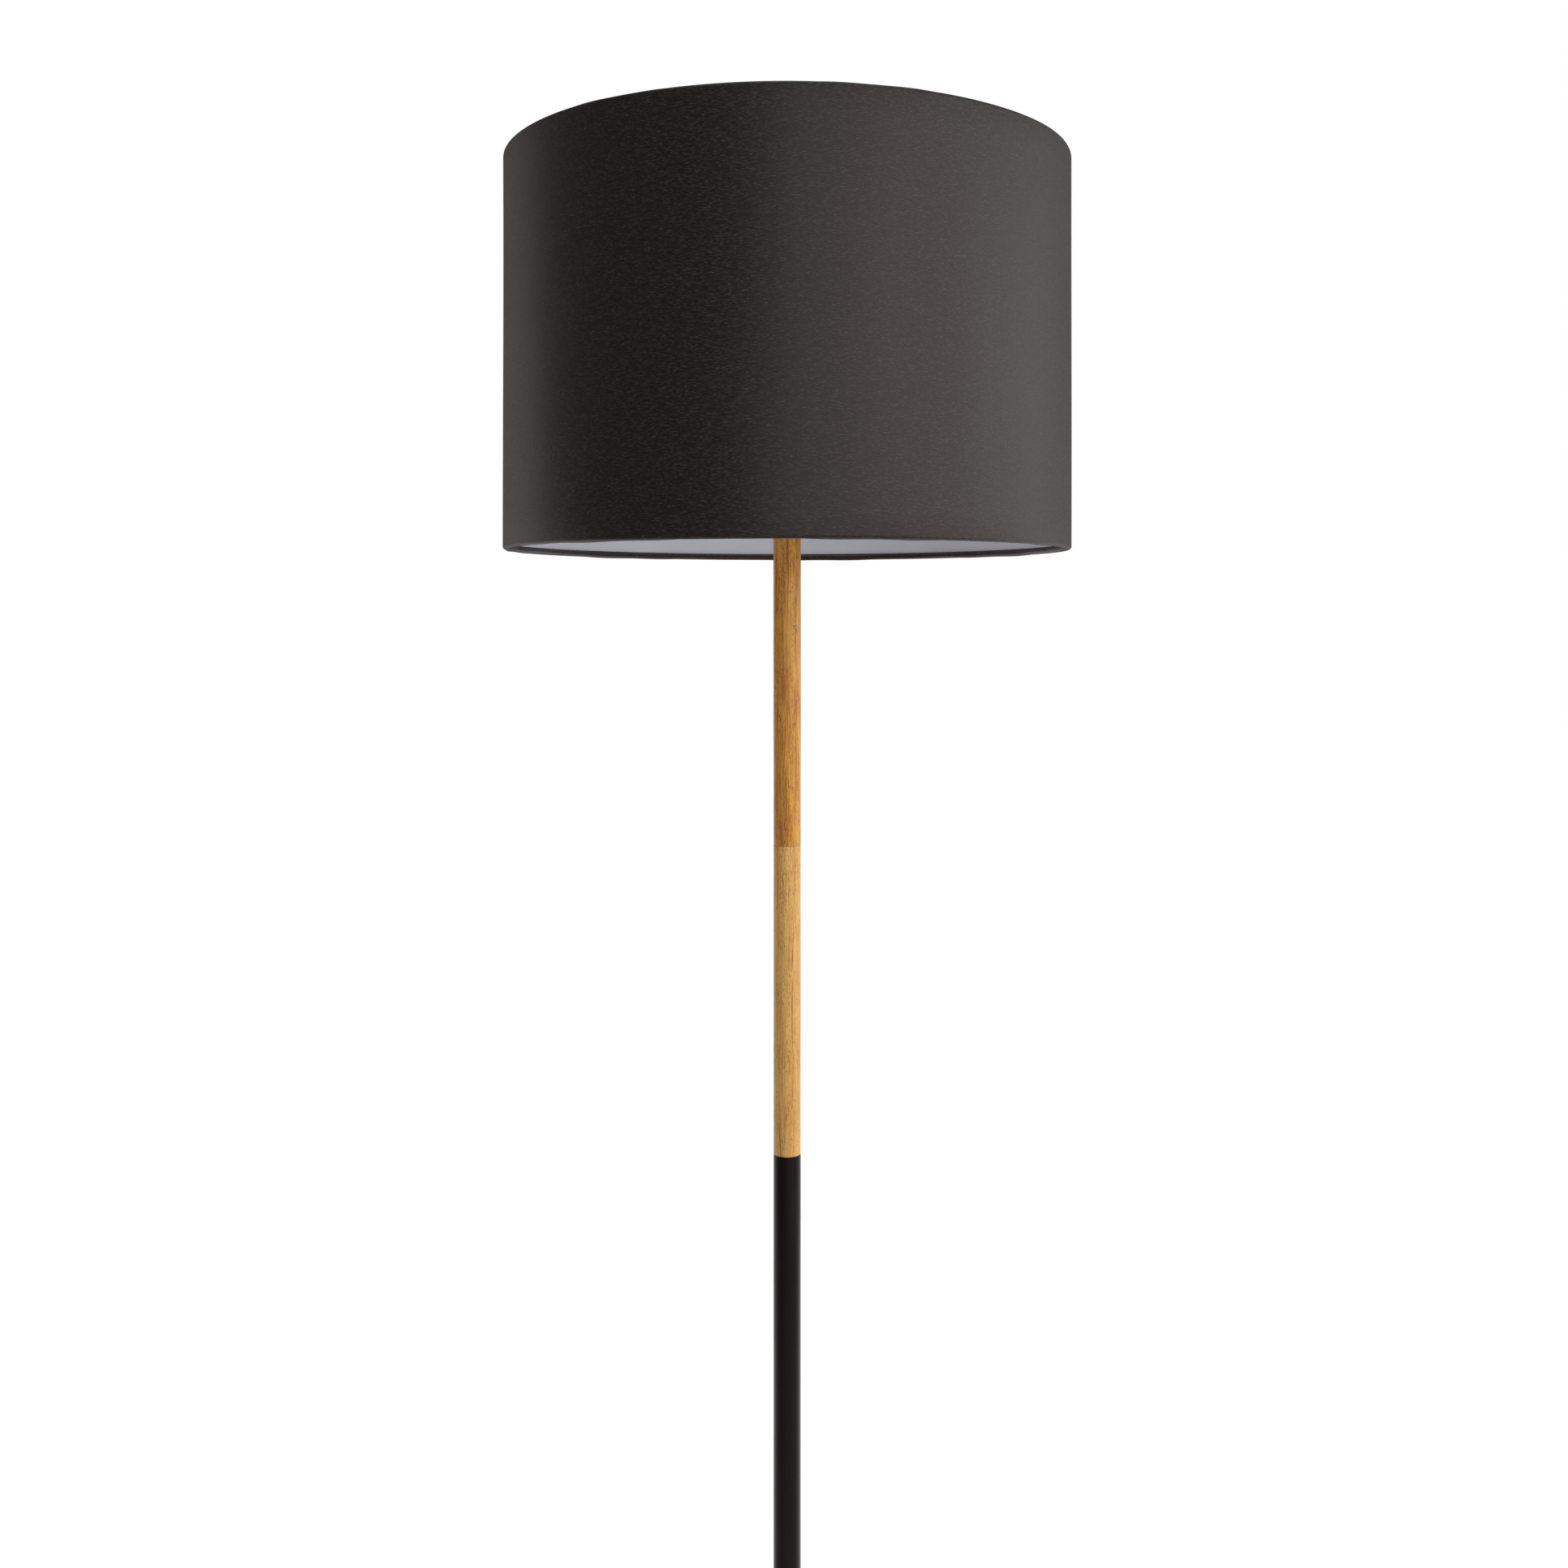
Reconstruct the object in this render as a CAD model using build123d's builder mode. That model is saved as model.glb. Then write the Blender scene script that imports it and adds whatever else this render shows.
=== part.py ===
from build123d import *
import math
import os

# Floor lamp with a straight pole on a three-legged base and a fabric drum shade on a harp.
# Millimetres, +Z up, origin on the floor under the pole's axis.

# shade
SHADE_R = 225.0
SHADE_BOTTOM = 1240.0
SHADE_HEIGHT = 308.0
FABRIC_T = 0.7
LINER_T = 0.6
RING_WIRE_R = 1.6
WRAP_GAP = 0.05
ARM_WIRE_R = 1.75
ARM_COUNT = 3

# pole
POLE_R = 11.0
WOOD_LENGTH = 247.5
POLE_TOP = 1252.0
TUBE_WALL = 1.5
EDGE_BREAK = 0.4

# threaded pipe that joins the pole and carries the cord
PIPE_R = 5.0
PIPE_BORE_R = 3.7
THREAD_GAP = 0.05
PIPE_GRIP = 16.0
INSERT_R = 7.5
INSERT_LENGTH = 18.0
PLUG_LENGTH = 22.0

# base
HUB_BOTTOM = 330.0
HUB_TOP = 368.0
HUB_R = 29.0
SOCKET_DEPTH = 8.0
HUB_RECESS_R = 12.0
HUB_RECESS_TOP = 342.0
BOSS_R = 14.0
BOSS_ROOT_R = 18.0
BOSS_ROOT_Z = 345.0
BOSS_LENGTH = 24.0
BOSS_HOLE = 18.0
LEG_COUNT = 3
LEG_SPLAY = 30.0
LEG_TOP_R = 13.0
LEG_MIDDLE_R = 11.6
LEG_FOOT_R = 8.1
LEG_BOLT_R = 4.0
LEG_BOLT_GRIP = 26.0
PAD_HEIGHT = 5.0
PAD_R = 8.5
PAD_SEAT = 2.6
PAD_SCREW_R = 1.75
PAD_SCREW_HEAD_R = 3.5
PAD_SCREW_LENGTH = 14.0

# lampholder, harp and bulb
STRAP_T = 1.6
STRAP_WIDTH = 12.0
EAR_X = 27.0
HARP_WIRE_R = 2.0
HARP_TOP = 1520.0
HARP_HALF_WIDTH = 57.0
SHELL_R = 15.8
SHELL_T = 0.8
STUD_R = 3.1
SLEEVE_R = 3.4
SLEEVE_LENGTH = 14.0
SWITCH_STEM_R = 2.5
KNOB_R = 7.5
KNOB_FLUTES = 12
BULB_R = 30.0
BULB_WALL = 1.2

# worked out from the above
SHADE_TOP = SHADE_BOTTOM + SHADE_HEIGHT
WRAP_R = RING_WIRE_R + WRAP_GAP + FABRIC_T
RING_R = SHADE_R - WRAP_R
UPPER_SEAM = POLE_TOP - WOOD_LENGTH
LOWER_SEAM = UPPER_SEAM - WOOD_LENGTH
TUBE_BOTTOM = HUB_TOP - SOCKET_DEPTH
STRAP_BOTTOM = POLE_TOP + 1.5
HOLDER_Z = STRAP_BOTTOM + STRAP_T
EAR_TOP = HOLDER_Z + 17.0
POST_TOP = EAR_TOP + 8.0
HOLE_R = PIPE_R + THREAD_GAP


def write(piece, name):
    """Label one finished piece and write its STEP file."""
    piece.part.label = name
    export_step(piece.part, f"parts/{name}.step")


def round_tube(outer, inner, bottom, top, edge=0.0):
    """A straight tube about the Z axis, with its outer end edges broken by a small chamfer."""
    with BuildPart() as tube:
        with BuildSketch(Plane.XY.offset(bottom)):
            Circle(outer)
            Circle(inner, mode=Mode.SUBTRACT)
        extrude(amount=top - bottom)
        if edge:
            rims = tube.edges().filter_by(GeomType.CIRCLE).filter_by(lambda e: e.radius > outer - 0.01)
            chamfer(rims, edge)
    return tube


def turned(points):
    """A solid turned about the Z axis from a closed outline of (radius, height) points."""
    with BuildPart() as piece:
        with BuildSketch(Plane.XZ):
            with BuildLine():
                Polyline(*points, close=True)
            make_face()
        revolve(axis=Axis.Z)
    return piece


def leg_point(angle, along):
    """A point on a leg's axis, at a distance along it from the boss's root inside the hub."""
    tilt = math.radians(LEG_SPLAY)
    turn = math.radians(angle)
    radius = BOSS_ROOT_R + along * math.sin(tilt)
    height = BOSS_ROOT_Z - along * math.cos(tilt)
    return Vector(radius * math.cos(turn), radius * math.sin(turn), height)


def leg_direction(angle):
    """The direction down a leg."""
    return (leg_point(angle, 1.0) - leg_point(angle, 0.0)).normalized()


def leg_plane(angle, along):
    """A plane square to a leg's axis that looks down the leg."""
    turn = math.radians(angle)
    return Plane(
        origin=leg_point(angle, along),
        x_dir=Vector(-math.sin(turn), math.cos(turn), 0),
        z_dir=leg_direction(angle),
    )


os.makedirs("parts", exist_ok=True)
leg_angles = [90 + 360 / LEG_COUNT * i for i in range(LEG_COUNT)]
leg_run = (BOSS_ROOT_Z - PAD_HEIGHT) / math.cos(math.radians(LEG_SPLAY))

# ---------------------------------------------------------------- base

# hub: a heavy turned body with three round bosses that point down the legs
with BuildPart() as hub:
    with BuildSketch(Plane.XZ):
        with BuildLine():
            Polyline((0, HUB_TOP), (14.5, HUB_TOP), (15.5, HUB_TOP - 1))
            Line((15.5, HUB_TOP - 1), (15.5, HUB_TOP - 5))
            RadiusArc((15.5, HUB_TOP - 5), (HUB_R, HUB_TOP - 18), -14.5)
            Polyline((HUB_R, HUB_TOP - 18), (HUB_R, HUB_BOTTOM + 3), (HUB_R - 3, HUB_BOTTOM))
            Polyline((HUB_R - 3, HUB_BOTTOM), (0, HUB_BOTTOM), (0, HUB_TOP))
        make_face()
    revolve(axis=Axis.Z)
    for angle in leg_angles:
        with BuildSketch(leg_plane(angle, BOSS_LENGTH)):
            Circle(BOSS_R)
        extrude(amount=-BOSS_LENGTH)
    boss_rims = hub.edges().filter_by(GeomType.CIRCLE).filter_by(
        lambda e: abs(e.radius - BOSS_R) < 0.01 and e.center().Z < HUB_BOTTOM
    )
    chamfer(boss_rims, 0.8)
    with BuildSketch(Plane.XY.offset(HUB_BOTTOM - 30)):
        Circle(HUB_RECESS_R)
    extrude(amount=HUB_RECESS_TOP - HUB_BOTTOM + 30, mode=Mode.SUBTRACT)
    with BuildSketch(Plane.XY.offset(TUBE_BOTTOM)):
        Circle(POLE_R + THREAD_GAP)
    extrude(amount=SOCKET_DEPTH, mode=Mode.SUBTRACT)
    with BuildSketch(Plane.XY.offset(HUB_RECESS_TOP)):
        Circle(HOLE_R)
    extrude(amount=TUBE_BOTTOM - HUB_RECESS_TOP, mode=Mode.SUBTRACT)
    for angle in leg_angles:
        with BuildSketch(leg_plane(angle, BOSS_LENGTH)):
            Circle(LEG_BOLT_R + THREAD_GAP)
        extrude(amount=-BOSS_HOLE, mode=Mode.SUBTRACT)
write(hub, "hub")

# legs: turned wood, tapering to the foot, cut level above the pad and bored for bolt and screw
for number, angle in enumerate(leg_angles, start=1):
    turn = math.radians(angle)
    side = Vector(-math.sin(turn), math.cos(turn), 0)
    length = leg_run - BOSS_LENGTH
    spare_end = length + 15
    foot = leg_point(angle, leg_run)
    with BuildPart() as leg:
        with BuildSketch(Plane(leg_point(angle, BOSS_LENGTH), x_dir=leg_direction(angle), z_dir=side)):
            with BuildLine():
                Polyline((0, 0), (0, LEG_TOP_R - 0.8), (0.8, LEG_TOP_R))
                ThreePointArc((0.8, LEG_TOP_R), (length / 2, LEG_MIDDLE_R), (spare_end, LEG_FOOT_R))
                Polyline((spare_end, LEG_FOOT_R), (spare_end, 0), (0, 0))
            make_face()
        revolve(axis=Axis(leg_point(angle, BOSS_LENGTH), leg_direction(angle)))
        split(bisect_by=Plane.XY.offset(PAD_HEIGHT), keep=Keep.TOP)
        with BuildSketch(leg_plane(angle, BOSS_LENGTH - 1)):
            Circle(LEG_BOLT_R + THREAD_GAP)
        extrude(amount=LEG_BOLT_GRIP + 2, mode=Mode.SUBTRACT)
        with BuildSketch(Plane.XY.offset(PAD_HEIGHT - 1)):
            with Locations((foot.X, foot.Y)):
                Circle(PAD_SCREW_R + THREAD_GAP)
        extrude(amount=PAD_SCREW_LENGTH + 2, mode=Mode.SUBTRACT)
    write(leg, f"leg_{number}")

    with BuildPart() as pad:
        with BuildSketch(Plane.XY):
            with Locations((foot.X, foot.Y)):
                Circle(PAD_R)
        extrude(amount=PAD_HEIGHT)
        fillet(pad.edges().group_by(Axis.Z)[0], 1.2)
        with BuildSketch(Plane.XY):
            with Locations((foot.X, foot.Y)):
                Circle(PAD_SCREW_HEAD_R + 0.3)
        extrude(amount=PAD_SEAT, mode=Mode.SUBTRACT)
        with BuildSketch(Plane.XY.offset(PAD_SEAT)):
            with Locations((foot.X, foot.Y)):
                Circle(PAD_SCREW_R + THREAD_GAP)
        extrude(amount=PAD_HEIGHT - PAD_SEAT, mode=Mode.SUBTRACT)
    write(pad, f"foot_pad_{number}")

# double-ended bolts between the hub's bosses and the legs
bolt_in_boss = BOSS_HOLE - 0.5
with BuildPart() as leg_bolts:
    for angle in leg_angles:
        with BuildSketch(leg_plane(angle, BOSS_LENGTH - bolt_in_boss)):
            Circle(LEG_BOLT_R)
        extrude(amount=bolt_in_boss + LEG_BOLT_GRIP)
write(leg_bolts, "leg_bolts")

# pan-head screws that hold the pads
with BuildPart() as pad_screws:
    for angle in leg_angles:
        foot = leg_point(angle, leg_run)
        with BuildSketch(Plane.XY.offset(PAD_SEAT)):
            with Locations((foot.X, foot.Y)):
                Circle(PAD_SCREW_HEAD_R)
        extrude(amount=-1.8)
        with BuildSketch(Plane.XY.offset(PAD_SEAT)):
            with Locations((foot.X, foot.Y)):
                Circle(PAD_SCREW_R)
        extrude(amount=PAD_HEIGHT - PAD_SEAT + PAD_SCREW_LENGTH)
write(pad_screws, "foot_pad_screws")

# washer and hexagon nut that draw the pole down onto the hub
washer_bottom = HUB_RECESS_TOP - 1.6
hub_washer = round_tube(11.0, HOLE_R, washer_bottom, HUB_RECESS_TOP)
write(hub_washer, "hub_washer")

with BuildPart() as hub_nut:
    with BuildSketch(Plane.XY.offset(washer_bottom - 6)):
        RegularPolygon(radius=7.0, side_count=6, major_radius=False)
        Circle(HOLE_R, mode=Mode.SUBTRACT)
    extrude(amount=6)
write(hub_nut, "hub_nut")

# threaded pipe through the hub, and the plastic bush that the cord would pass through
hub_pipe_bottom = HUB_BOTTOM + 1
hub_pipe = round_tube(PIPE_R, PIPE_BORE_R, hub_pipe_bottom, TUBE_BOTTOM + PLUG_LENGTH - 2)
write(hub_pipe, "hub_threaded_pipe")

cable_bush = turned([
    (3.2, hub_pipe_bottom - 3), (6.2, hub_pipe_bottom - 3), (7.0, hub_pipe_bottom - 2.2),
    (7.0, hub_pipe_bottom), (PIPE_BORE_R - 0.05, hub_pipe_bottom),
    (PIPE_BORE_R - 0.05, hub_pipe_bottom + 6), (3.2, hub_pipe_bottom + 6),
])
write(cable_bush, "cable_bush")

# ---------------------------------------------------------------- pole

black_tube = round_tube(POLE_R, POLE_R - TUBE_WALL, TUBE_BOTTOM, LOWER_SEAM, EDGE_BREAK)
write(black_tube, "pole_black_tube")

plug_r = POLE_R - TUBE_WALL - THREAD_GAP
lower_plug = round_tube(plug_r, HOLE_R, TUBE_BOTTOM, TUBE_BOTTOM + PLUG_LENGTH)
write(lower_plug, "tube_plug_bottom")
upper_plug = round_tube(plug_r, HOLE_R, LOWER_SEAM - PLUG_LENGTH, LOWER_SEAM)
write(upper_plug, "tube_plug_top")

# the two wood sections: through bore for the cord, wider at both ends for a threaded insert
for name, bottom in (("lower", LOWER_SEAM), ("upper", UPPER_SEAM)):
    top = bottom + WOOD_LENGTH
    with BuildPart() as wood:
        with BuildSketch(Plane.XY.offset(bottom)):
            Circle(POLE_R)
        extrude(amount=WOOD_LENGTH)
        chamfer(wood.edges().filter_by(GeomType.CIRCLE), EDGE_BREAK)
        with BuildSketch(Plane.XY.offset(bottom)):
            Circle(HOLE_R)
        extrude(amount=WOOD_LENGTH, mode=Mode.SUBTRACT)
        for start in (bottom, top - INSERT_LENGTH):
            with BuildSketch(Plane.XY.offset(start)):
                Circle(INSERT_R)
            extrude(amount=INSERT_LENGTH, mode=Mode.SUBTRACT)
    write(wood, f"pole_wood_{name}")
    with BuildPart() as inserts:
        for start in (bottom, top - INSERT_LENGTH):
            with BuildSketch(Plane.XY.offset(start)):
                Circle(INSERT_R - THREAD_GAP)
                Circle(HOLE_R, mode=Mode.SUBTRACT)
            extrude(amount=INSERT_LENGTH)
    write(inserts, f"pole_wood_{name}_inserts")

for name, seam in (("lower", LOWER_SEAM), ("upper", UPPER_SEAM)):
    joint_pipe = round_tube(PIPE_R, PIPE_BORE_R, seam - PIPE_GRIP, seam + PIPE_GRIP)
    write(joint_pipe, f"{name}_joint_pipe")

top_pipe = round_tube(PIPE_R, PIPE_BORE_R, POLE_TOP - PIPE_GRIP, HOLDER_Z + 11)
write(top_pipe, "top_threaded_pipe")
top_washer = round_tube(POLE_R, HOLE_R, POLE_TOP, STRAP_BOTTOM, EDGE_BREAK)
write(top_washer, "pole_top_washer")

# ---------------------------------------------------------------- harp and its saddle

# saddle: a bent strap clamped under the lampholder, with a short post on each ear
with BuildPart() as saddle:
    with BuildSketch(Plane.XZ):
        with BuildLine():
            FilletPolyline(
                (-EAR_X, EAR_TOP), (-EAR_X, HOLDER_Z + 6), (-16, STRAP_BOTTOM + STRAP_T / 2),
                (16, STRAP_BOTTOM + STRAP_T / 2), (EAR_X, HOLDER_Z + 6), (EAR_X, EAR_TOP),
                radius=4,
            )
        trace(line_width=STRAP_T)
    extrude(amount=STRAP_WIDTH / 2, both=True)
    with BuildSketch(Plane.XY.offset(STRAP_BOTTOM)):
        Circle(10.5)
    extrude(amount=STRAP_T)
    with BuildSketch(Plane.XY.offset(STRAP_BOTTOM - 1)):
        Circle(HOLE_R)
    extrude(amount=STRAP_T + 2, mode=Mode.SUBTRACT)
    with BuildSketch(Plane.XY.offset(EAR_TOP - 6)):
        with Locations((-EAR_X, 0), (EAR_X, 0)):
            Circle(HARP_WIRE_R)
    extrude(amount=POST_TOP - EAR_TOP + 6)
write(saddle, "harp_saddle")

# harp: one bent wire that stands on the saddle's posts and passes through the stud's foot
half = [
    (EAR_X, POST_TOP), (EAR_X, POST_TOP + 34), (HARP_HALF_WIDTH, POST_TOP + 88),
    (HARP_HALF_WIDTH, POST_TOP + 158), (40, HARP_TOP - 20), (22, HARP_TOP),
]
bends = [60, 100, 150, 50, 25]
with BuildPart() as harp:
    with BuildLine(Plane.XZ):
        FilletPolyline(
            *half,
            *[(-x, z) for x, z in reversed(half)],
            radius=[*bends, *reversed(bends)],
        )
    with BuildSketch(Plane.XY.offset(POST_TOP)):
        with Locations((EAR_X, 0)):
            Circle(HARP_WIRE_R)
    sweep()
write(harp, "harp")

# sleeves that lock the harp to its posts and lift to free it
for name, x in (("left", -EAR_X), ("right", EAR_X)):
    with BuildPart() as sleeve:
        with BuildSketch(Plane.XY.offset(EAR_TOP + 0.3)):
            with Locations((x, 0)):
                Circle(SLEEVE_R)
                Circle(HARP_WIRE_R + 0.1, mode=Mode.SUBTRACT)
        extrude(amount=SLEEVE_LENGTH)
        chamfer(sleeve.edges().filter_by(GeomType.CIRCLE).filter_by(lambda e: e.radius > SLEEVE_R - 0.1), 0.5)
    write(sleeve, f"harp_sleeve_{name}")

# stud: a round foot cross-bored for the harp's wire, with a threaded end for the finial
foot_top = HARP_TOP + 5
with BuildPart() as stud:
    with BuildSketch(Plane.XY.offset(HARP_TOP - 5)):
        Circle(5.5)
    extrude(amount=10)
    chamfer(stud.edges().group_by(Axis.Z)[0], 0.6)
    with BuildSketch(Plane.XY.offset(foot_top)):
        Circle(STUD_R)
    extrude(amount=16)
    chamfer(stud.edges().group_by(Axis.Z)[-1], 0.5)
    with BuildSketch(Plane.YZ.offset(-10)):
        with Locations((0, HARP_TOP)):
            Circle(HARP_WIRE_R + 0.03)
    extrude(amount=20, mode=Mode.SUBTRACT)
write(stud, "harp_stud")

# ---------------------------------------------------------------- lampholder

# cap: thin spun bell with a threaded collar that screws onto the pole's pipe
z = HOLDER_Z
lampholder_cap = turned([
    (HOLE_R, z), (8.0, z), (10.0, z + 0.8), (16.8, z + 9), (16.8, z + 19), (SHELL_R + 0.1, z + 19),
    (SHELL_R + 0.1, z + 9.5), (9.4, z + 1.8), (7.4, z + 1.8), (7.4, z + 11), (HOLE_R, z + 11),
])
write(lampholder_cap, "lampholder_cap")

# moulded body that holds the switch, with a hole for the leads and a bore for the switch's stem
switch_z = z + 25
shell_bottom = z + 13
body_top = shell_bottom + 20
with BuildPart() as holder_body:
    with BuildSketch(Plane.XY.offset(shell_bottom)):
        Circle(14.6)
        Circle(2.6, mode=Mode.SUBTRACT)
    extrude(amount=body_top - shell_bottom)
    with BuildSketch(Plane.XZ.offset(4)):
        with Locations((0, switch_z)):
            Circle(SWITCH_STEM_R + 0.05)
    extrude(amount=20, mode=Mode.SUBTRACT)
write(holder_body, "lampholder_body")

with BuildPart() as holder_shell:
    with BuildSketch(Plane.XY.offset(shell_bottom)):
        Circle(SHELL_R)
        Circle(SHELL_R - SHELL_T, mode=Mode.SUBTRACT)
    extrude(amount=49)
    with BuildSketch(Plane.XZ.offset(10)):
        with Locations((0, switch_z)):
            Circle(SWITCH_STEM_R + 0.5)
    extrude(amount=10, mode=Mode.SUBTRACT)
write(holder_shell, "lampholder_shell")

holder_liner = round_tube(14.95, 14.25, body_top + 0.1, z + 61)
write(holder_liner, "lampholder_liner")
screw_shell = round_tube(14.1, 13.6, body_top + 0.1, z + 58)
write(screw_shell, "screw_shell")

# centre contact: a springy strip arched over the body
with BuildPart() as centre_contact:
    with BuildSketch(Plane.XZ):
        with BuildLine():
            FilletPolyline(
                (-9, body_top + 0.4), (-6, body_top + 0.4), (-2, body_top + 3), (2, body_top + 3), radius=1
            )
        trace(line_width=0.5)
    extrude(amount=2.5, both=True)
write(centre_contact, "centre_contact")

with BuildPart() as switch_stem:
    with BuildSketch(Plane.XZ.offset(4.5)):
        with Locations((0, switch_z)):
            Circle(SWITCH_STEM_R)
    extrude(amount=22)
write(switch_stem, "switch_stem")

# knob: tapered, with a ring of finger flutes and a blind hole for the stem
knob_start = 18
with BuildPart() as switch_knob:
    with BuildSketch(Plane.XZ.offset(knob_start)):
        with Locations((0, switch_z)):
            Circle(KNOB_R)
    extrude(amount=16, taper=4)
    fillet(switch_knob.faces().sort_by(Axis.Y)[0].edges(), 1.2)
    with BuildSketch(Plane.XZ.offset(knob_start)):
        with Locations((0, switch_z)):
            with PolarLocations(KNOB_R + 0.5, KNOB_FLUTES):
                Circle(1.1)
    extrude(amount=17, taper=3, mode=Mode.SUBTRACT)
    with BuildSketch(Plane.XZ.offset(knob_start)):
        with Locations((0, switch_z)):
            Circle(SWITCH_STEM_R + 0.02)
    extrude(amount=9, mode=Mode.SUBTRACT)
write(switch_knob, "switch_knob")

# ---------------------------------------------------------------- bulb

cap_bottom = z + 38.5
cap_top = z + 62.5
with BuildPart() as bulb_contact:
    with BuildSketch(Plane.XZ):
        with BuildLine():
            Polyline((0, cap_bottom - 2), (3.5, cap_bottom - 2), (4.5, cap_bottom - 1), (8.5, cap_bottom))
            Polyline((8.5, cap_bottom), (0, cap_bottom), (0, cap_bottom - 2))
        make_face()
    revolve(axis=Axis.Z)
write(bulb_contact, "bulb_contact")

bulb_cap = turned([
    (0, cap_bottom), (9.0, cap_bottom), (13.2, cap_bottom + 3.5), (13.2, cap_top),
    (12.7, cap_top), (12.7, cap_bottom + 3.7), (8.8, cap_bottom + 0.5), (0, cap_bottom + 0.5),
])
write(bulb_cap, "bulb_cap")

# housing: white cone, open inside, from the cap to the globe
globe_z = z + 117
joint_drop = 12
joint_z = globe_z - joint_drop
joint_r = math.sqrt(BULB_R**2 - joint_drop**2)
with BuildPart() as bulb_housing:
    with BuildSketch(Plane.XZ):
        with BuildLine():
            Polyline((14.2, cap_top), (14.2, cap_top + 3))
            ThreePointArc((14.2, cap_top + 3), (19.8, cap_top + 24), (joint_r, joint_z))
            Polyline((joint_r, joint_z), (joint_r - BULB_WALL, joint_z))
            ThreePointArc((joint_r - BULB_WALL, joint_z), (18.4, cap_top + 24), (12.8, cap_top + 3))
            Polyline((12.8, cap_top + 3), (12.8, cap_top), (14.2, cap_top))
        make_face()
    revolve(axis=Axis.Z)
write(bulb_housing, "bulb_housing")

inner = BULB_R - BULB_WALL
inner_r = math.sqrt(inner**2 - joint_drop**2)
with BuildPart() as bulb_globe:
    with BuildSketch(Plane.XZ):
        with BuildLine():
            ThreePointArc((0, globe_z + BULB_R), (BULB_R, globe_z), (joint_r, joint_z))
            Line((joint_r, joint_z), (inner_r, joint_z))
            ThreePointArc((inner_r, joint_z), (inner, globe_z), (0, globe_z + inner))
            Line((0, globe_z + inner), (0, globe_z + BULB_R))
        make_face()
    revolve(axis=Axis.Z)
write(bulb_globe, "bulb_globe")

# ---------------------------------------------------------------- shade

ring_low = SHADE_BOTTOM + WRAP_R
ring_high = SHADE_TOP - WRAP_R
arm_angles = [90 + 360 / ARM_COUNT * i for i in range(ARM_COUNT)]
arm_rise_r = RING_R - RING_WIRE_R - ARM_WIRE_R + 0.3
washer_z = foot_top + 0.1

# bottom ring
with BuildPart() as bottom_ring:
    with BuildSketch(Plane.XZ):
        with Locations((RING_R, ring_low)):
            Circle(RING_WIRE_R)
    revolve(axis=Axis.Z)
write(bottom_ring, "shade_bottom_ring")

# top ring
with BuildPart() as top_ring:
    with BuildSketch(Plane.XZ):
        with Locations((RING_R, ring_high)):
            Circle(RING_WIRE_R)
    revolve(axis=Axis.Z)
write(top_ring, "shade_top_ring")

# spider: three cranked arms and a washer, welded together and to the inside of the top ring
arm_z = washer_z + 1
arm_start_r = 8.5
with BuildPart() as spider:
    for angle in arm_angles:
        turn = math.radians(angle)
        out = Vector(math.cos(turn), math.sin(turn), 0)
        with BuildLine(Plane(origin=(0, 0, 0), x_dir=out, z_dir=out.cross(Vector(0, 0, 1)))) as arm_path:
            FilletPolyline((arm_start_r, arm_z), (arm_rise_r, arm_z), (arm_rise_r, ring_high + 0.8), radius=9)
        with BuildSketch(Plane(origin=out * arm_start_r + Vector(0, 0, arm_z), z_dir=out)):
            Circle(ARM_WIRE_R)
        sweep(path=arm_path.wire())
    with BuildSketch(Plane.XY.offset(washer_z)):
        Circle(14)
        Circle(STUD_R + 0.1, mode=Mode.SUBTRACT)
    extrude(amount=2)
    with BuildSketch(Plane.XZ):
        with Locations((RING_R, ring_high)):
            Circle(RING_WIRE_R)
    revolve(axis=Axis.Z, mode=Mode.SUBTRACT)
write(spider, "shade_spider")

# liner: stiff translucent sheet that the fabric is laminated to, between the two rings
liner_r = SHADE_R - FABRIC_T
liner_gap = WRAP_R + 2.25
liner = round_tube(liner_r, liner_r - LINER_T, ring_low + liner_gap, ring_high - liner_gap)
write(liner, "shade_liner")

# fabric: outer wall, turned in around both rings, each turn left open by a narrow slit
with BuildPart() as fabric:
    with BuildSketch(Plane.XZ):
        with Locations((SHADE_R - FABRIC_T / 2, (ring_low + ring_high) / 2)):
            Rectangle(FABRIC_T, ring_high - ring_low)
        for ring_z, side in ((ring_low, 1), (ring_high, -1)):
            with Locations((RING_R, ring_z)):
                Circle(WRAP_R)
                Circle(WRAP_R - FABRIC_T, mode=Mode.SUBTRACT)
            with Locations((RING_R + 0.8, ring_z + side * WRAP_R)):
                Rectangle(0.5, 2.0, mode=Mode.SUBTRACT)
    revolve(axis=Axis.Z)
    for angle in arm_angles:
        turn = math.radians(angle)
        with BuildSketch(Plane.XY.offset(SHADE_TOP - 10)):
            with Locations((arm_rise_r * math.cos(turn), arm_rise_r * math.sin(turn))):
                Circle(ARM_WIRE_R + 0.15)
        extrude(amount=12, mode=Mode.SUBTRACT)
write(fabric, "shade_fabric")

# finial: a turned knob that screws onto the stud and clamps the fitter's washer
finial_z = washer_z + 2.1
neck_r = 4.8
knob_z = finial_z + 11.6
knob_r = math.hypot(neck_r, knob_z - finial_z - 5)
with BuildPart() as finial:
    with BuildSketch(Plane.XZ):
        with BuildLine():
            Polyline((0, finial_z), (6.5, finial_z), (6.5, finial_z + 2), (neck_r, finial_z + 3.2))
            Line((neck_r, finial_z + 3.2), (neck_r, finial_z + 5))
            ThreePointArc((neck_r, finial_z + 5), (knob_r, knob_z), (0, knob_z + knob_r))
            Line((0, knob_z + knob_r), (0, finial_z))
        make_face()
    revolve(axis=Axis.Z)
    with BuildSketch(Plane.XY.offset(finial_z)):
        Circle(STUD_R + THREAD_GAP)
    extrude(amount=15, mode=Mode.SUBTRACT)
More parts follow.
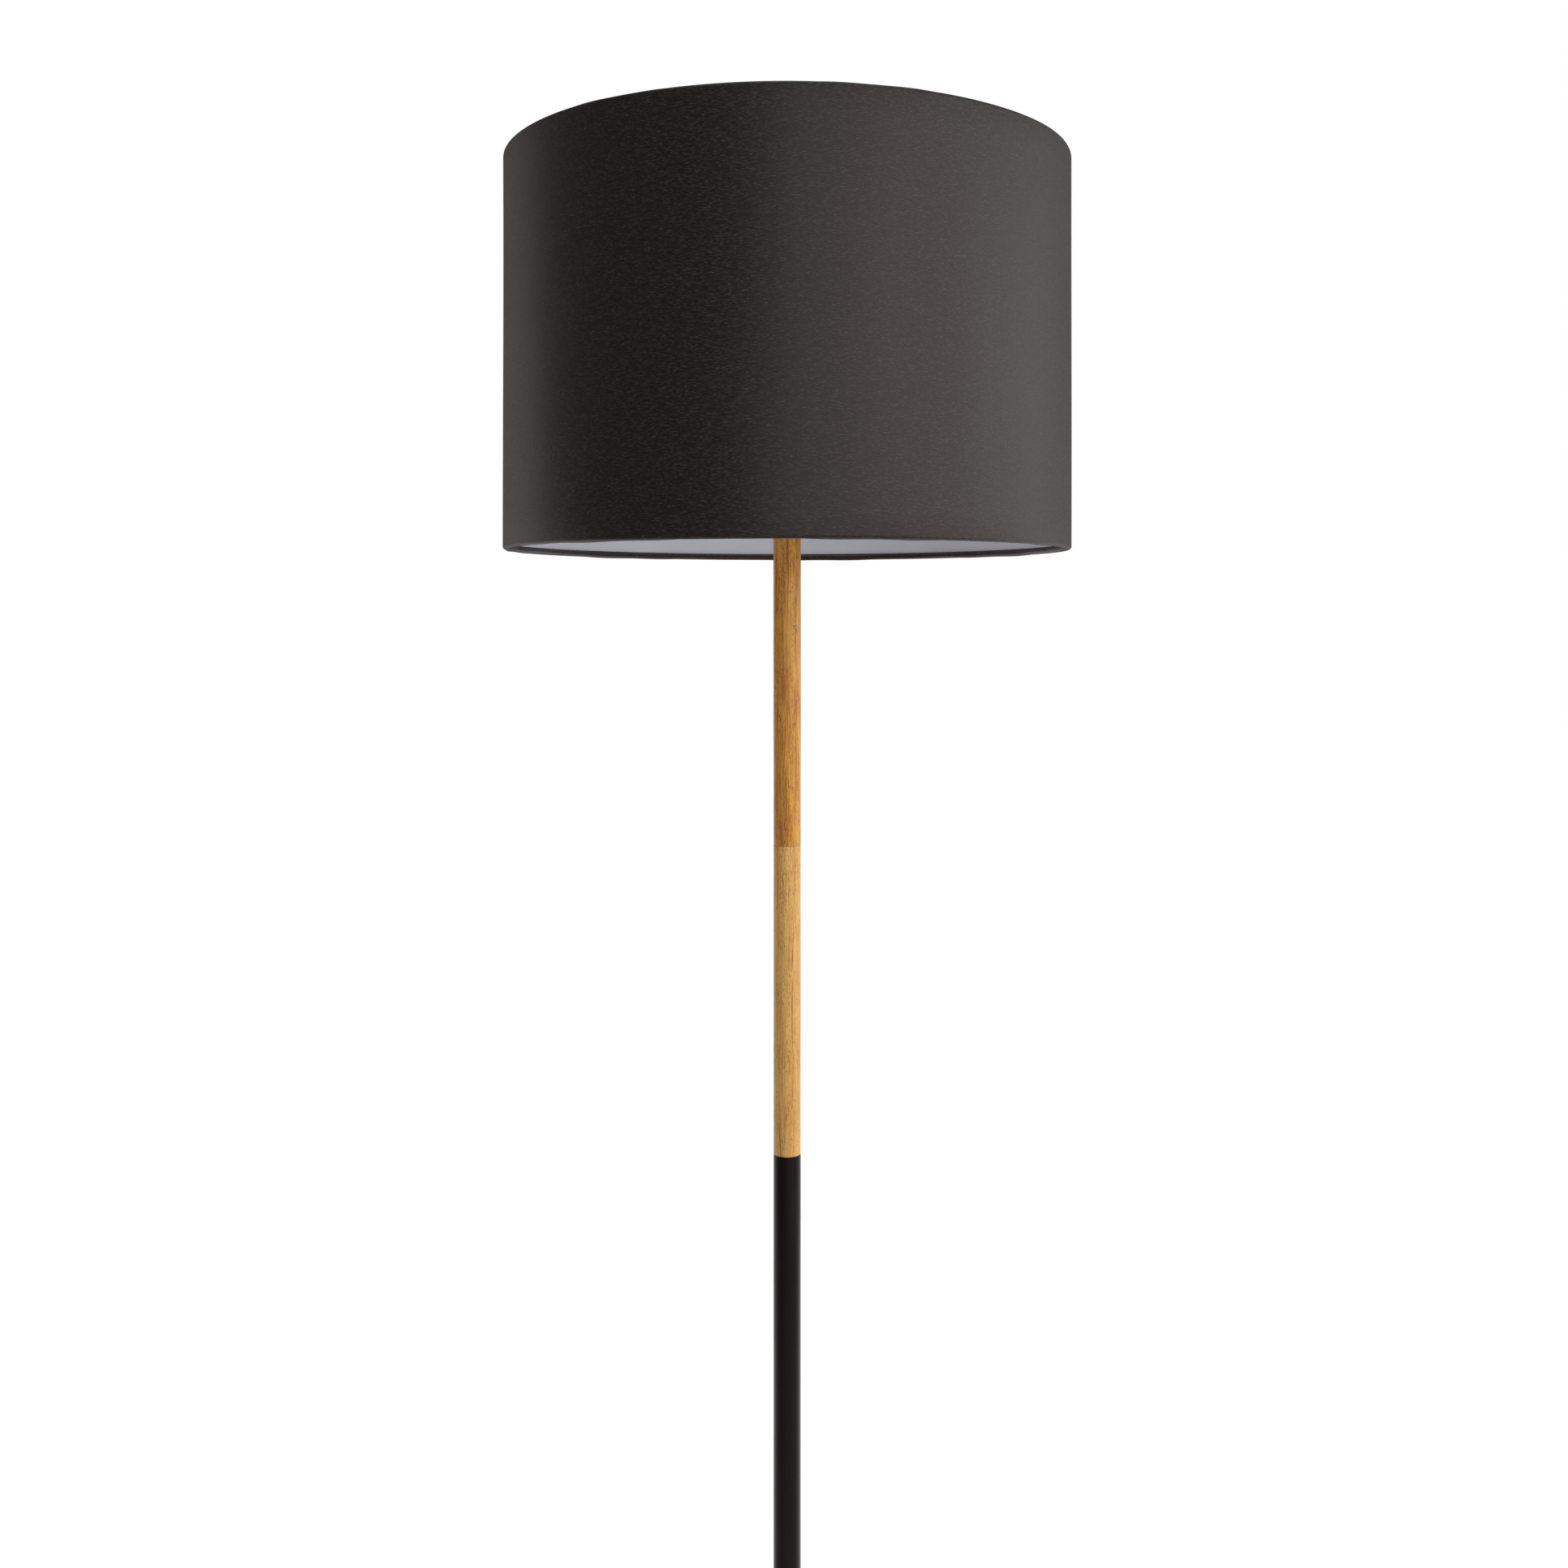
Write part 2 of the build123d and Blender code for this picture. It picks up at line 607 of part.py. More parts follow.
write(finial, "finial")
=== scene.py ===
import math

import bmesh
import bpy
from mathutils import Matrix, Vector


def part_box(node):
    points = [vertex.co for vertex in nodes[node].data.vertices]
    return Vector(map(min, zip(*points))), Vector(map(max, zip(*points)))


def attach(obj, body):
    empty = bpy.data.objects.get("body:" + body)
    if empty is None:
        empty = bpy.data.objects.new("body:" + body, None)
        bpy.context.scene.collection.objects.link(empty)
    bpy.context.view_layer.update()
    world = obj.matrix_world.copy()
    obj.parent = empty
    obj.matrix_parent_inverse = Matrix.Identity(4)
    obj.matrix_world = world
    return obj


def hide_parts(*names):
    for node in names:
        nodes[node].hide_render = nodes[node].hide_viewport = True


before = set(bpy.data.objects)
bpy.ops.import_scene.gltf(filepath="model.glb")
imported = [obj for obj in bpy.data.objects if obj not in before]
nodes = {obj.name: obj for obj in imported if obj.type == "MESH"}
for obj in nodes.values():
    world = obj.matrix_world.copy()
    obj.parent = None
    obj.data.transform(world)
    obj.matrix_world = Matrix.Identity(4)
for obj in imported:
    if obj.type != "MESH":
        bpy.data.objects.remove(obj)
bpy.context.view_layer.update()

# ---------------------------------------------------------------- room
# A pale floor that fades into a white surround. Four broad soft windows stand round the
# lamp's right side from front to back, a warm one behind on its left, and one above. The
# camera is a little below the shade's rim and looks level.

scene = bpy.context.scene
scene.view_settings.view_transform = "Standard"

rim_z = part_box("shade_fabric")[0][2]
shade_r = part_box("shade_fabric")[1][0]
eye_distance = 6.133 * shade_r
eye_drop = 0.230 * shade_r
eye_side = -0.0025

camera = bpy.data.cameras.new("camera")
camera.sensor_width = 36.0
camera.lens = 39.5
camera.shift_y = -0.1073
camera_object = bpy.data.objects.new("camera", camera)
camera_object.location = (eye_side, -eye_distance, rim_z - eye_drop)
camera_object.rotation_euler = (math.radians(90), 0, 0)
scene.collection.objects.link(camera_object)
scene.camera = camera_object


def add_node(tree, kind, sockets=(), **settings):
    """One node, its settings, and its inputs by name or number: a value, or a socket to link."""
    made = tree.nodes.new(kind)
    for setting, value in settings.items():
        setattr(made, setting, value)
    for key, value in dict(sockets).items():
        if isinstance(value, bpy.types.NodeSocket):
            tree.links.new(value, made.inputs[key])
        else:
            made.inputs[key].default_value = value
    return made


def soft_window(name, place, aim, width, height, watts, colour=(1, 1, 1)):
    """A rectangular light at a place, turned to an aim."""
    light = bpy.data.lights.new(name, "AREA")
    light.shape = "RECTANGLE"
    light.size = width
    light.size_y = height
    light.energy = watts
    light.color = colour
    lamp = bpy.data.objects.new(name, light)
    lamp.location = place
    lamp.rotation_euler = (Vector(aim) - Vector(place)).to_track_quat("-Z", "Z").to_euler()
    lamp.visible_camera = False
    scene.collection.objects.link(lamp)


soft_window("window_front", (0.70, -2.30, 1.7), (0, 0, 1.3), 2.1, 2.2, 18.5)
soft_window("window_right_front", (2.10, -1.25, 1.7), (0, 0, 1.3), 2.2, 2.2, 26)
soft_window("window_right", (2.56, 0.40, 1.7), (0, 0, 1.3), 1.6, 2.2, 15.5)
soft_window("window_right_back", (1.49, 2.13, 1.5), (0, 0, 1.2), 2.0, 2.6, 4.5)
soft_window("window_left_back", (-1.48, 1.89, 1.3), (0, 0, 1.2), 1.9, 2.6, 10, (1.0, 0.90, 0.82))
soft_window("window_top", (0.1, -0.2, 3.3), (0, 0, 1.5), 1.8, 1.8, 12)

world = bpy.data.worlds.new("surround")
scene.world = world
world.use_nodes = True
sky = world.node_tree
sky.nodes.clear()
seen = add_node(sky, "ShaderNodeBackground", {"Color": (1, 1, 1, 1), "Strength": 1.0})
lit = add_node(sky, "ShaderNodeBackground", {"Color": (0.97, 0.98, 1, 1), "Strength": 0.17})
path = add_node(sky, "ShaderNodeLightPath")
both = add_node(sky, "ShaderNodeMixShader", {
    0: path.outputs["Is Camera Ray"], 1: lit.outputs[0], 2: seen.outputs[0],
})
add_node(sky, "ShaderNodeOutputWorld", {"Surface": both.outputs[0]})

floor_mesh = bpy.data.meshes.new("floor")
floor_reach = 14.0
floor_corners = [(x * floor_reach, y * floor_reach, 0.0) for x, y in ((-1, -1), (1, -1), (1, 1), (-1, 1))]
floor_mesh.from_pydata(floor_corners, [], [(0, 1, 2, 3)])
floor = bpy.data.objects.new("floor", floor_mesh)
scene.collection.objects.link(floor)
floor_paint = bpy.data.materials.new("pale_floor")
floor_paint.use_nodes = True
tree = floor_paint.node_tree
tree.nodes.clear()
pale = add_node(tree, "ShaderNodeBsdfDiffuse", {"Color": (0.80, 0.80, 0.80, 1)})
floor_place = add_node(tree, "ShaderNodeTexCoord").outputs["Object"]
away = add_node(tree, "ShaderNodeVectorMath", {0: floor_place}, operation="LENGTH")
brighter = add_node(tree, "ShaderNodeMapRange", {
    "Value": away.outputs["Value"], "From Min": 0.30, "From Max": 1.0, "To Min": 0.35, "To Max": 1.0,
}, interpolation_type="SMOOTHSTEP")
glow = add_node(tree, "ShaderNodeEmission", {
    "Color": (1, 1, 1, 1), "Strength": brighter.outputs["Result"],
})
path = add_node(tree, "ShaderNodeLightPath")
dark = add_node(tree, "ShaderNodeEmission", {"Strength": 0.0})
floor_parts = add_node(tree, "ShaderNodeSeparateXYZ", {0: floor_place})
behind_lamp = add_node(tree, "ShaderNodeMapRange", {
    "Value": floor_parts.outputs["Y"], "From Min": -0.1, "From Max": 0.5,
})
mirrored = add_node(tree, "ShaderNodeMath", {
    0: path.outputs["Is Glossy Ray"], 1: behind_lamp.outputs["Result"],
}, operation="MULTIPLY")
glow_shows = add_node(tree, "ShaderNodeMath", {
    0: path.outputs["Is Camera Ray"], 1: mirrored.outputs[0],
}, operation="MAXIMUM")
glow_seen = add_node(tree, "ShaderNodeMixShader", {
    0: glow_shows.outputs[0], 1: dark.outputs[0], 2: glow.outputs[0],
})
floor_sum = add_node(tree, "ShaderNodeAddShader", {0: pale.outputs[0], 1: glow_seen.outputs[0]})
add_node(tree, "ShaderNodeOutputMaterial", {"Surface": floor_sum.outputs[0]})
floor_mesh.materials.append(floor_paint)

# ---------------------------------------------------------------- wood pole sections
# Two turned dowels of plain hardwood, one stained golden brown and one left pale, screwed
# end to end on threaded pipe. Satin lacquer, with the end edges eased by sanding.


def link_object(name, mesh):
    """The mesh as an object at the origin, smooth except across sharp edges."""
    mesh.shade_smooth()
    mesh.set_sharp_from_angle(angle=math.radians(32))
    thing = bpy.data.objects.new(name, mesh)
    scene.collection.objects.link(thing)
    return thing


def turned(name, outline, facets=96, along=None):
    """A closed (radius, height) outline turned about Z, then placed by a matrix. The grain
    attribute keeps each point's place before that, with the grain along Z."""
    shape = bmesh.new()
    rings = []
    for radius, height in outline:
        turn = [2 * math.pi * i / facets for i in range(facets)]
        around = [(radius * math.cos(a), radius * math.sin(a), height) for a in turn]
        rings.append([shape.verts.new(point) for point in around])
    for ring, after in zip(rings, rings[1:] + rings[:1]):
        for i in range(facets):
            j = (i + 1) % facets
            shape.faces.new((ring[i], ring[j], after[j], after[i]))
    bmesh.ops.remove_doubles(shape, verts=shape.verts, dist=1e-6)
    bmesh.ops.dissolve_degenerate(shape, edges=shape.edges, dist=1e-7)
    bmesh.ops.recalc_face_normals(shape, faces=shape.faces)
    mesh = bpy.data.meshes.new(name)
    shape.to_mesh(mesh)
    shape.free()
    grain = mesh.attributes.new("grain", "FLOAT_VECTOR", "POINT")
    for point, place in zip(mesh.vertices, grain.data):
        place.vector = point.co
    if along is not None:
        mesh.transform(along)
    return link_object(name, mesh)


def rounded(points, reach, steps=4):
    """The closed outline with each corner that is given a reach turned into a short curve."""
    out = []
    count = len(points)
    for i, (corner, cut) in enumerate(zip(points, reach)):
        if not cut:
            out.append(corner)
            continue
        here = Vector(corner)
        before = here + (Vector(points[i - 1]) - here).normalized() * cut
        after = here + (Vector(points[(i + 1) % count]) - here).normalized() * cut
        for step in range(steps + 1):
            t = step / steps
            out.append(tuple(before * (1 - t) ** 2 + here * 2 * t * (1 - t) + after * t ** 2))
    return out


def shader_group(name, inputs, outputs):
    """An empty shader node group with its sockets, and its input and output nodes."""
    tree = bpy.data.node_groups.new(name, "ShaderNodeTree")
    for label, kind, value in inputs:
        socket = tree.interface.new_socket(label, in_out="INPUT", socket_type="NodeSocket" + kind)
        if value is not None:
            socket.default_value = value
    for label, kind in outputs:
        tree.interface.new_socket(label, in_out="OUTPUT", socket_type="NodeSocket" + kind)
    return tree, tree.nodes.new("NodeGroupInput"), tree.nodes.new("NodeGroupOutput")


def math_node(tree, operation, first, second=0.5, third=0.0, clamp=False):
    """A Math node's result."""
    terms = {0: first, 1: second, 2: third}
    return add_node(tree, "ShaderNodeMath", terms, operation=operation, use_clamp=clamp).outputs[0]


def ramp(tree, value, low, high, to_low=0.0, to_high=1.0):
    """Value from low to high, smoothly, as to_low to to_high."""
    made = add_node(
        tree, "ShaderNodeMapRange",
        {"Value": value, "From Min": low, "From Max": high, "To Min": to_low, "To Max": to_high},
        interpolation_type="SMOOTHSTEP",
    )
    return made.outputs["Result"]


def stretched_noise(tree, place, scale, detail=3.0, roughness=0.55, shift=(0, 0, 0)):
    """Noise whose features are 1/scale metres long on each axis."""
    spread = add_node(tree, "ShaderNodeVectorMath", {0: place, 1: scale}, operation="MULTIPLY")
    moved = add_node(tree, "ShaderNodeVectorMath", {0: spread.outputs[0], 1: shift}, operation="ADD")
    made = add_node(
        tree, "ShaderNodeTexNoise",
        {"Vector": moved.outputs[0], "Scale": 1.0, "Detail": detail, "Roughness": roughness},
    )
    return made.outputs["Fac"]


def blend_colour(tree, amount, first, second):
    """Two colours mixed by an amount."""
    terms = {0: amount, 6: first, 7: second}
    return add_node(tree, "ShaderNodeMix", terms, data_type="RGBA").outputs[2]


def wood_grain_group():
    """Long fibres, faint growth rings round a pith outside the dowel, dark pores and lines."""
    tree, given, result = shader_group(
        "Wood grain",
        [
            ("Grain", "Vector", None), ("Pale", "Color", (0.7, 0.4, 0.15, 1)),
            ("Deep", "Color", (0.4, 0.2, 0.07, 1)), ("Pore", "Color", (0.12, 0.05, 0.02, 1)),
            ("Ring contrast", "Float", 0.5), ("Streaks", "Float", 0.5), ("Pores", "Float", 0.5),
            ("Lines", "Float", 0.5),
        ],
        [("Color", "Color"), ("Roughness", "Float"), ("Height", "Float")],
    )
    grain = given.outputs["Grain"]
    wander = stretched_noise(tree, grain, (30, 30, 6), 2.0)
    parts = add_node(tree, "ShaderNodeSeparateXYZ", {0: grain})
    pith_x = math_node(tree, "ADD", parts.outputs["X"], 0.021)
    pith_y = math_node(tree, "ADD", parts.outputs["Y"], 0.034)
    square = math_node(tree, "MULTIPLY_ADD", pith_x, pith_x, math_node(tree, "MULTIPLY", pith_y, pith_y))
    wavy = math_node(tree, "MULTIPLY_ADD", wander, 0.012, math_node(tree, "SQRT", square))
    phase = math_node(tree, "FRACT", math_node(tree, "DIVIDE", wavy, 0.0062))
    late_wood = math_node(tree, "POWER", phase, 2.4)
    late_wood = math_node(tree, "MULTIPLY", late_wood, ramp(tree, phase, 1.0, 0.93))
    streak = ramp(tree, stretched_noise(tree, grain, (760, 760, 34), 4.0, 0.6), 0.38, 0.64)
    fibre = stretched_noise(tree, grain, (3200, 3200, 90), 3.0, 0.6)
    cloud = ramp(tree, stretched_noise(tree, grain, (130, 130, 9), 3.0), 0.35, 0.68)
    amount = math_node(tree, "MULTIPLY", late_wood, given.outputs["Ring contrast"])
    amount = math_node(tree, "MULTIPLY_ADD", streak, given.outputs["Streaks"], amount)
    cloudy = math_node(tree, "MULTIPLY", given.outputs["Streaks"], 0.55)
    amount = math_node(tree, "MULTIPLY_ADD", cloud, cloudy, amount)
    amount = math_node(tree, "SUBTRACT", amount, 0.14)
    amount = math_node(tree, "MULTIPLY_ADD", fibre, 0.22, amount, clamp=True)
    colour = blend_colour(tree, amount, given.outputs["Pale"], given.outputs["Deep"])
    line = ramp(tree, math_node(tree, "ABSOLUTE", math_node(tree, "SUBTRACT", phase, 0.94)), 0.045, 0.0)
    broken = stretched_noise(tree, grain, (200, 200, 38), 3.0, 0.6, (9.0, 2.0, 4.0))
    broken = ramp(tree, broken, 0.40, 0.60)
    line = math_node(tree, "MULTIPLY", math_node(tree, "MULTIPLY", line, broken), given.outputs["Lines"])
    patch = stretched_noise(tree, grain, (150, 150, 30), 2.0, 0.5, (2.0, 6.0, 3.0))
    gate = math_node(tree, "MULTIPLY_ADD", patch, -0.30, 0.775)
    coarse_pore = stretched_noise(tree, grain, (1900, 1900, 210), 2.0, 0.55, (5.0, 1.0, 8.0))
    coarse_pore = ramp(tree, math_node(tree, "SUBTRACT", coarse_pore, gate), -0.005, 0.05)
    fine_pore = stretched_noise(tree, grain, (3300, 3300, 420), 2.0, 0.6, (1.0, 4.0, 2.0))
    fine_pore = ramp(tree, math_node(tree, "SUBTRACT", fine_pore, gate), -0.07, 0.04)
    pore = math_node(tree, "MAXIMUM", coarse_pore, math_node(tree, "MULTIPLY", fine_pore, 0.7))
    pore = math_node(tree, "MULTIPLY", pore, given.outputs["Pores"])
    mark = math_node(tree, "MAXIMUM", line, pore)
    colour = blend_colour(tree, mark, colour, given.outputs["Pore"])
    rough = math_node(tree, "MULTIPLY_ADD", mark, 0.18, 0.33)
    rough = math_node(tree, "MULTIPLY_ADD", fibre, 0.10, rough)
    height = math_node(tree, "MULTIPLY_ADD", mark, -0.8, math_node(tree, "MULTIPLY", fibre, 0.25))
    for label, value in (("Color", colour), ("Roughness", rough), ("Height", height)):
        tree.links.new(value, result.inputs[label])
    return tree


wood_grain = wood_grain_group()


def principled(name, **sockets):
    """A material with its Principled shader, and values set on the shader's own sockets."""
    made = bpy.data.materials.new(name)
    made.use_nodes = True
    shader = made.node_tree.nodes["Principled BSDF"]
    for label, value in sockets.items():
        shader.inputs[label.replace("_", " ")].default_value = value
    return made, made.node_tree, shader


def bump(tree, shader, height, depth):
    """Relief of a depth in metres, from a height of 0 to 1."""
    made = add_node(tree, "ShaderNodeBump", {"Height": height, "Distance": depth, "Strength": 1.0})
    tree.links.new(made.outputs["Normal"], shader.inputs["Normal"])


def wood(name, pale, deep, pore, rings, streaks, pores, lines, region):
    """Lacquered wood cut from its own region of the grain."""
    made, tree, shader = principled(name, Coat_Weight=0.22, Coat_Roughness=0.16, Coat_IOR=1.45)
    shader.inputs["Specular IOR Level"].default_value = 0.16
    own = add_node(tree, "ShaderNodeAttribute", attribute_name="grain")
    moved = add_node(tree, "ShaderNodeVectorMath", {0: own.outputs["Vector"], 1: region}, operation="ADD")
    grain = add_node(tree, "ShaderNodeGroup", node_tree=wood_grain)
    tree.links.new(moved.outputs[0], grain.inputs["Grain"])
    for label, value in (
        ("Pale", pale), ("Deep", deep), ("Pore", pore), ("Ring contrast", rings), ("Streaks", streaks),
        ("Pores", pores), ("Lines", lines),
    ):
        grain.inputs[label].default_value = value
    tree.links.new(grain.outputs["Color"], shader.inputs["Base Color"])
    tree.links.new(grain.outputs["Roughness"], shader.inputs["Roughness"])
    bump(tree, shader, grain.outputs["Height"], 0.00006)
    return made


amber_wood = wood(
    "amber_wood", (0.93, 0.470, 0.095, 1), (0.51, 0.192, 0.036, 1), (0.20, 0.055, 0.012, 1),
    0.28, 0.66, 0.90, 0.55, (0.0, 0.0, 0.0),
)
honey_pale = (0.96, 0.565, 0.178, 1)
honey_deep = (0.62, 0.27, 0.058, 1)
honey_pore = (0.33, 0.095, 0.020, 1)
honey_wood = wood(
    "honey_wood", honey_pale, honey_deep, honey_pore, 0.22, 0.44, 0.72, 1.0, (0.013, 0.3075, 0.0)
)

pipe_bore_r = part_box("upper_joint_pipe")[1][0]
eased = 0.0007
for node_name, wood_material, slot_name in (
    ("pole_wood_upper", amber_wood, "wood_amber"), ("pole_wood_lower", honey_wood, "wood_honey"),
):
    low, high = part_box(node_name)
    outline = rounded(
        [(high[0], low[2]), (high[0], high[2]), (pipe_bore_r, high[2]), (pipe_bore_r, low[2])],
        (eased, eased, 0, 0),
    )
    section = turned(node_name + "_turned", outline, 128)
    section.data.materials.append(wood_material)
    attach(section, "stand")
    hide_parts(node_name)

# ---------------------------------------------------------------- black tube
# Thin-walled steel tube, powder coated satin black, with its ends faced square. It stands
# in the hub's socket and carries the wood sections on a threaded plug.


def powder_coat_group():
    """The fine orange peel of powder coat, a little dust, and faint handling marks."""
    tree, given, result = shader_group(
        "Powder coat",
        [
            ("Place", "Vector", None), ("Colour", "Color", (0.01, 0.01, 0.01, 1)),
            ("Roughness", "Float", 0.42),
        ],
        [("Color", "Color"), ("Roughness", "Float"), ("Height", "Float")],
    )
    place = given.outputs["Place"]
    peel = stretched_noise(tree, place, (900, 900, 900), 2.0)
    smear = ramp(tree, stretched_noise(tree, place, (45, 45, 12), 4.0), 0.42, 0.75)
    speck = ramp(tree, stretched_noise(tree, place, (2600, 2600, 2600), 1.0), 0.72, 0.80)
    rough = math_node(tree, "MULTIPLY_ADD", smear, 0.10, given.outputs["Roughness"])
    rough = math_node(tree, "MULTIPLY_ADD", peel, 0.06, rough)
    dusty = math_node(tree, "MULTIPLY", math_node(tree, "ADD", smear, speck), 0.012)
    colour = blend_colour(tree, dusty, given.outputs["Colour"], (0.30, 0.28, 0.26, 1))
    for label, value in (("Color", colour), ("Roughness", rough), ("Height", peel)):
        tree.links.new(value, result.inputs[label])
    return tree


powder_coat = powder_coat_group()


def painted_metal(name, colour, roughness, relief):
    """Powder-coated metal."""
    made, tree, shader = principled(name)
    shader.inputs["Specular IOR Level"].default_value = 0.22
    shader.inputs["Specular Tint"].default_value = (1.0, 0.87, 0.85, 1)
    place = add_node(tree, "ShaderNodeTexCoord")
    coat = add_node(tree, "ShaderNodeGroup", node_tree=powder_coat)
    tree.links.new(place.outputs["Object"], coat.inputs["Place"])
    coat.inputs["Colour"].default_value = colour
    coat.inputs["Roughness"].default_value = roughness
    tree.links.new(coat.outputs["Color"], shader.inputs["Base Color"])
    tree.links.new(coat.outputs["Roughness"], shader.inputs["Roughness"])
    bump(tree, shader, coat.outputs["Height"], relief)
    return made


satin_black = painted_metal("satin_black", (0.0042, 0.0035, 0.0033, 1), 0.31, 0.00003)


def paint(node_name, material):
    """Give a CAD node a material on every slot."""
    node_slots = nodes[node_name].data.materials
    if len(node_slots) == 0:
        node_slots.append(material)
    for i in range(len(node_slots)):
        node_slots[i] = material


low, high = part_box("pole_black_tube")
tube_bore_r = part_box("tube_plug_top")[1][0]
tube_outline = rounded(
    [(high[0], low[2]), (high[0], high[2]), (tube_bore_r, high[2]), (tube_bore_r, low[2])],
    (0.0004, 0.0004, 0, 0),
)
black_tube = turned("pole_black_tube_turned", tube_outline, 128)
black_tube.data.materials.append(satin_black)
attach(black_tube, "stand")
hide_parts("pole_black_tube")
paint("pole_top_washer", satin_black)

# ---------------------------------------------------------------- hub
# Heavy cast iron hub, turned on top and powder coated, with a round boss for each leg. The
# black tube stands in its socket, and a nut on the threaded pipe pulls the two together.

cast_black = painted_metal("cast_black", (0.010, 0.0092, 0.009, 1), 0.46, 0.00010)
paint("hub", cast_black)

# ---------------------------------------------------------------- legs
# Three turned legs of the same pale wood as the pole, fullest at the hub and tapering to
# the foot, each screwed to its boss by a double-ended bolt and cut level above its pad.

leg_angles = [math.radians(90 + 120 * i) for i in range(3)]
leg_splay = math.radians(30)
leg_fullest_r = 0.013
leg_end_r = 0.0122
leg_straight_taper = 0.00112
leg_curved_taper = 0.00378
leg_spare = 0.015
leg_stations = 24
leg_first_station = 0.003

for number, angle in enumerate(leg_angles, start=1):
    pad_low, pad_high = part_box(f"foot_pad_{number}")
    foot = (Vector(pad_low) + Vector(pad_high)) / 2
    foot.z = pad_high[2]
    outward = Vector((math.cos(angle), math.sin(angle), 0))
    down = outward * math.sin(leg_splay) - Vector((0, 0, math.cos(leg_splay)))
    top_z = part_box(f"leg_{number}")[1][2] - leg_end_r * math.sin(leg_splay)
    length = (top_z - foot.z) / math.cos(leg_splay)
    top = foot - down * length
    outline = [
        (0, 0), (leg_end_r - 0.0004, 0), (leg_end_r + 0.0002, 0.0002), (leg_end_r + 0.0006, 0.0007),
    ]
    for station in range(leg_stations + 1):
        t = max(station / leg_stations, leg_first_station)
        radius = leg_fullest_r - leg_straight_taper * t - leg_curved_taper * t ** 2
        outline.append((radius, t * (length + leg_spare)))
    outline.append((0, length + leg_spare))
    across = Vector((0, 0, 1)).cross(outward)
    place = Matrix.Translation(top) @ Matrix((across, down.cross(across), down)).transposed().to_4x4()
    leg = turned(f"leg_{number}_turned", outline, 64, place)
    sawn = bmesh.new()
    sawn.from_mesh(leg.data)
    cut = bmesh.ops.bisect_plane(
        sawn, geom=sawn.verts[:] + sawn.edges[:] + sawn.faces[:],
        plane_co=foot, plane_no=(0, 0, -1), clear_outer=True,
    )
    sawn_edges = [g for g in cut["geom_cut"] if isinstance(g, bmesh.types.BMEdge)]
    bmesh.ops.contextual_create(sawn, geom=sawn_edges)
    bmesh.ops.recalc_face_normals(sawn, faces=sawn.faces)
    sawn.to_mesh(leg.data)
    sawn.free()
    leg.data.set_sharp_from_angle(angle=math.radians(32))
    leg.data.materials.append(wood(
        f"leg_wood_{number}", honey_pale, honey_deep, honey_pore, 0.26, 0.44, 0.70, 0.8,
        (0.006 * number, 0.05 * number, 0.4 * number),
    ))
    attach(leg, "stand")
    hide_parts(f"leg_{number}")

# ---------------------------------------------------------------- foot pads
# Moulded black rubber pads with a ribbed sole. Each is held under its leg by one plated
# steel screw, whose head sits in a recess in the sole.


def moulded(name, colour, roughness):
    """Matte moulded rubber, plastic or card, slightly mottled, with a fine grain."""
    made, tree, shader = principled(name)
    place = add_node(tree, "ShaderNodeTexCoord").outputs["Object"]
    mottle = stretched_noise(tree, place, (180, 180, 180), 4.0)
    grit = stretched_noise(tree, place, (2400, 2400, 2400), 2.0)
    lighter = tuple(min(1.0, c * 2.2 + 0.01) for c in colour[:3]) + (1,)
    mottled = blend_colour(tree, ramp(tree, mottle, 0.40, 0.75), colour, lighter)
    tree.links.new(mottled, shader.inputs["Base Color"])
    tree.links.new(math_node(tree, "MULTIPLY_ADD", mottle, 0.2, roughness), shader.inputs["Roughness"])
    bump(tree, shader, grit, 0.00006)
    return made


def turned_metal(name, colour, roughness):
    """Bare or plated metal with the fine rings that turning leaves, and dull patches."""
    made, tree, shader = principled(name, Metallic=1.0)
    place = add_node(tree, "ShaderNodeTexCoord").outputs["Object"]
    parts = add_node(tree, "ShaderNodeSeparateXYZ", {0: place})
    jitter = stretched_noise(tree, place, (300, 300, 300), 2.0)
    drift = math_node(tree, "MULTIPLY", jitter, 5.0)
    ring = math_node(tree, "MULTIPLY_ADD", parts.outputs["Z"], 2 * math.pi / turning_pitch, drift)
    ring = math_node(tree, "SINE", ring)
    dull = ramp(tree, stretched_noise(tree, place, (90, 90, 90), 4.0), 0.42, 0.72)
    darker = tuple(c * 0.72 for c in colour[:3]) + (1,)
    dulled = blend_colour(tree, math_node(tree, "MULTIPLY", dull, 0.6), colour, darker)
    tree.links.new(dulled, shader.inputs["Base Color"])
    rough = math_node(tree, "MULTIPLY_ADD", dull, 0.14, roughness)
    tree.links.new(math_node(tree, "MULTIPLY_ADD", ring, 0.03, rough), shader.inputs["Roughness"])
    bump(tree, shader, math_node(tree, "MULTIPLY_ADD", ring, 0.5, 0.5), 0.000006)
    return made


rubber = moulded("rubber", (0.014, 0.014, 0.014, 1), 0.62)
turning_pitch = 0.00022
zinc_steel = turned_metal("zinc_steel", (0.60, 0.60, 0.62, 1), 0.30)

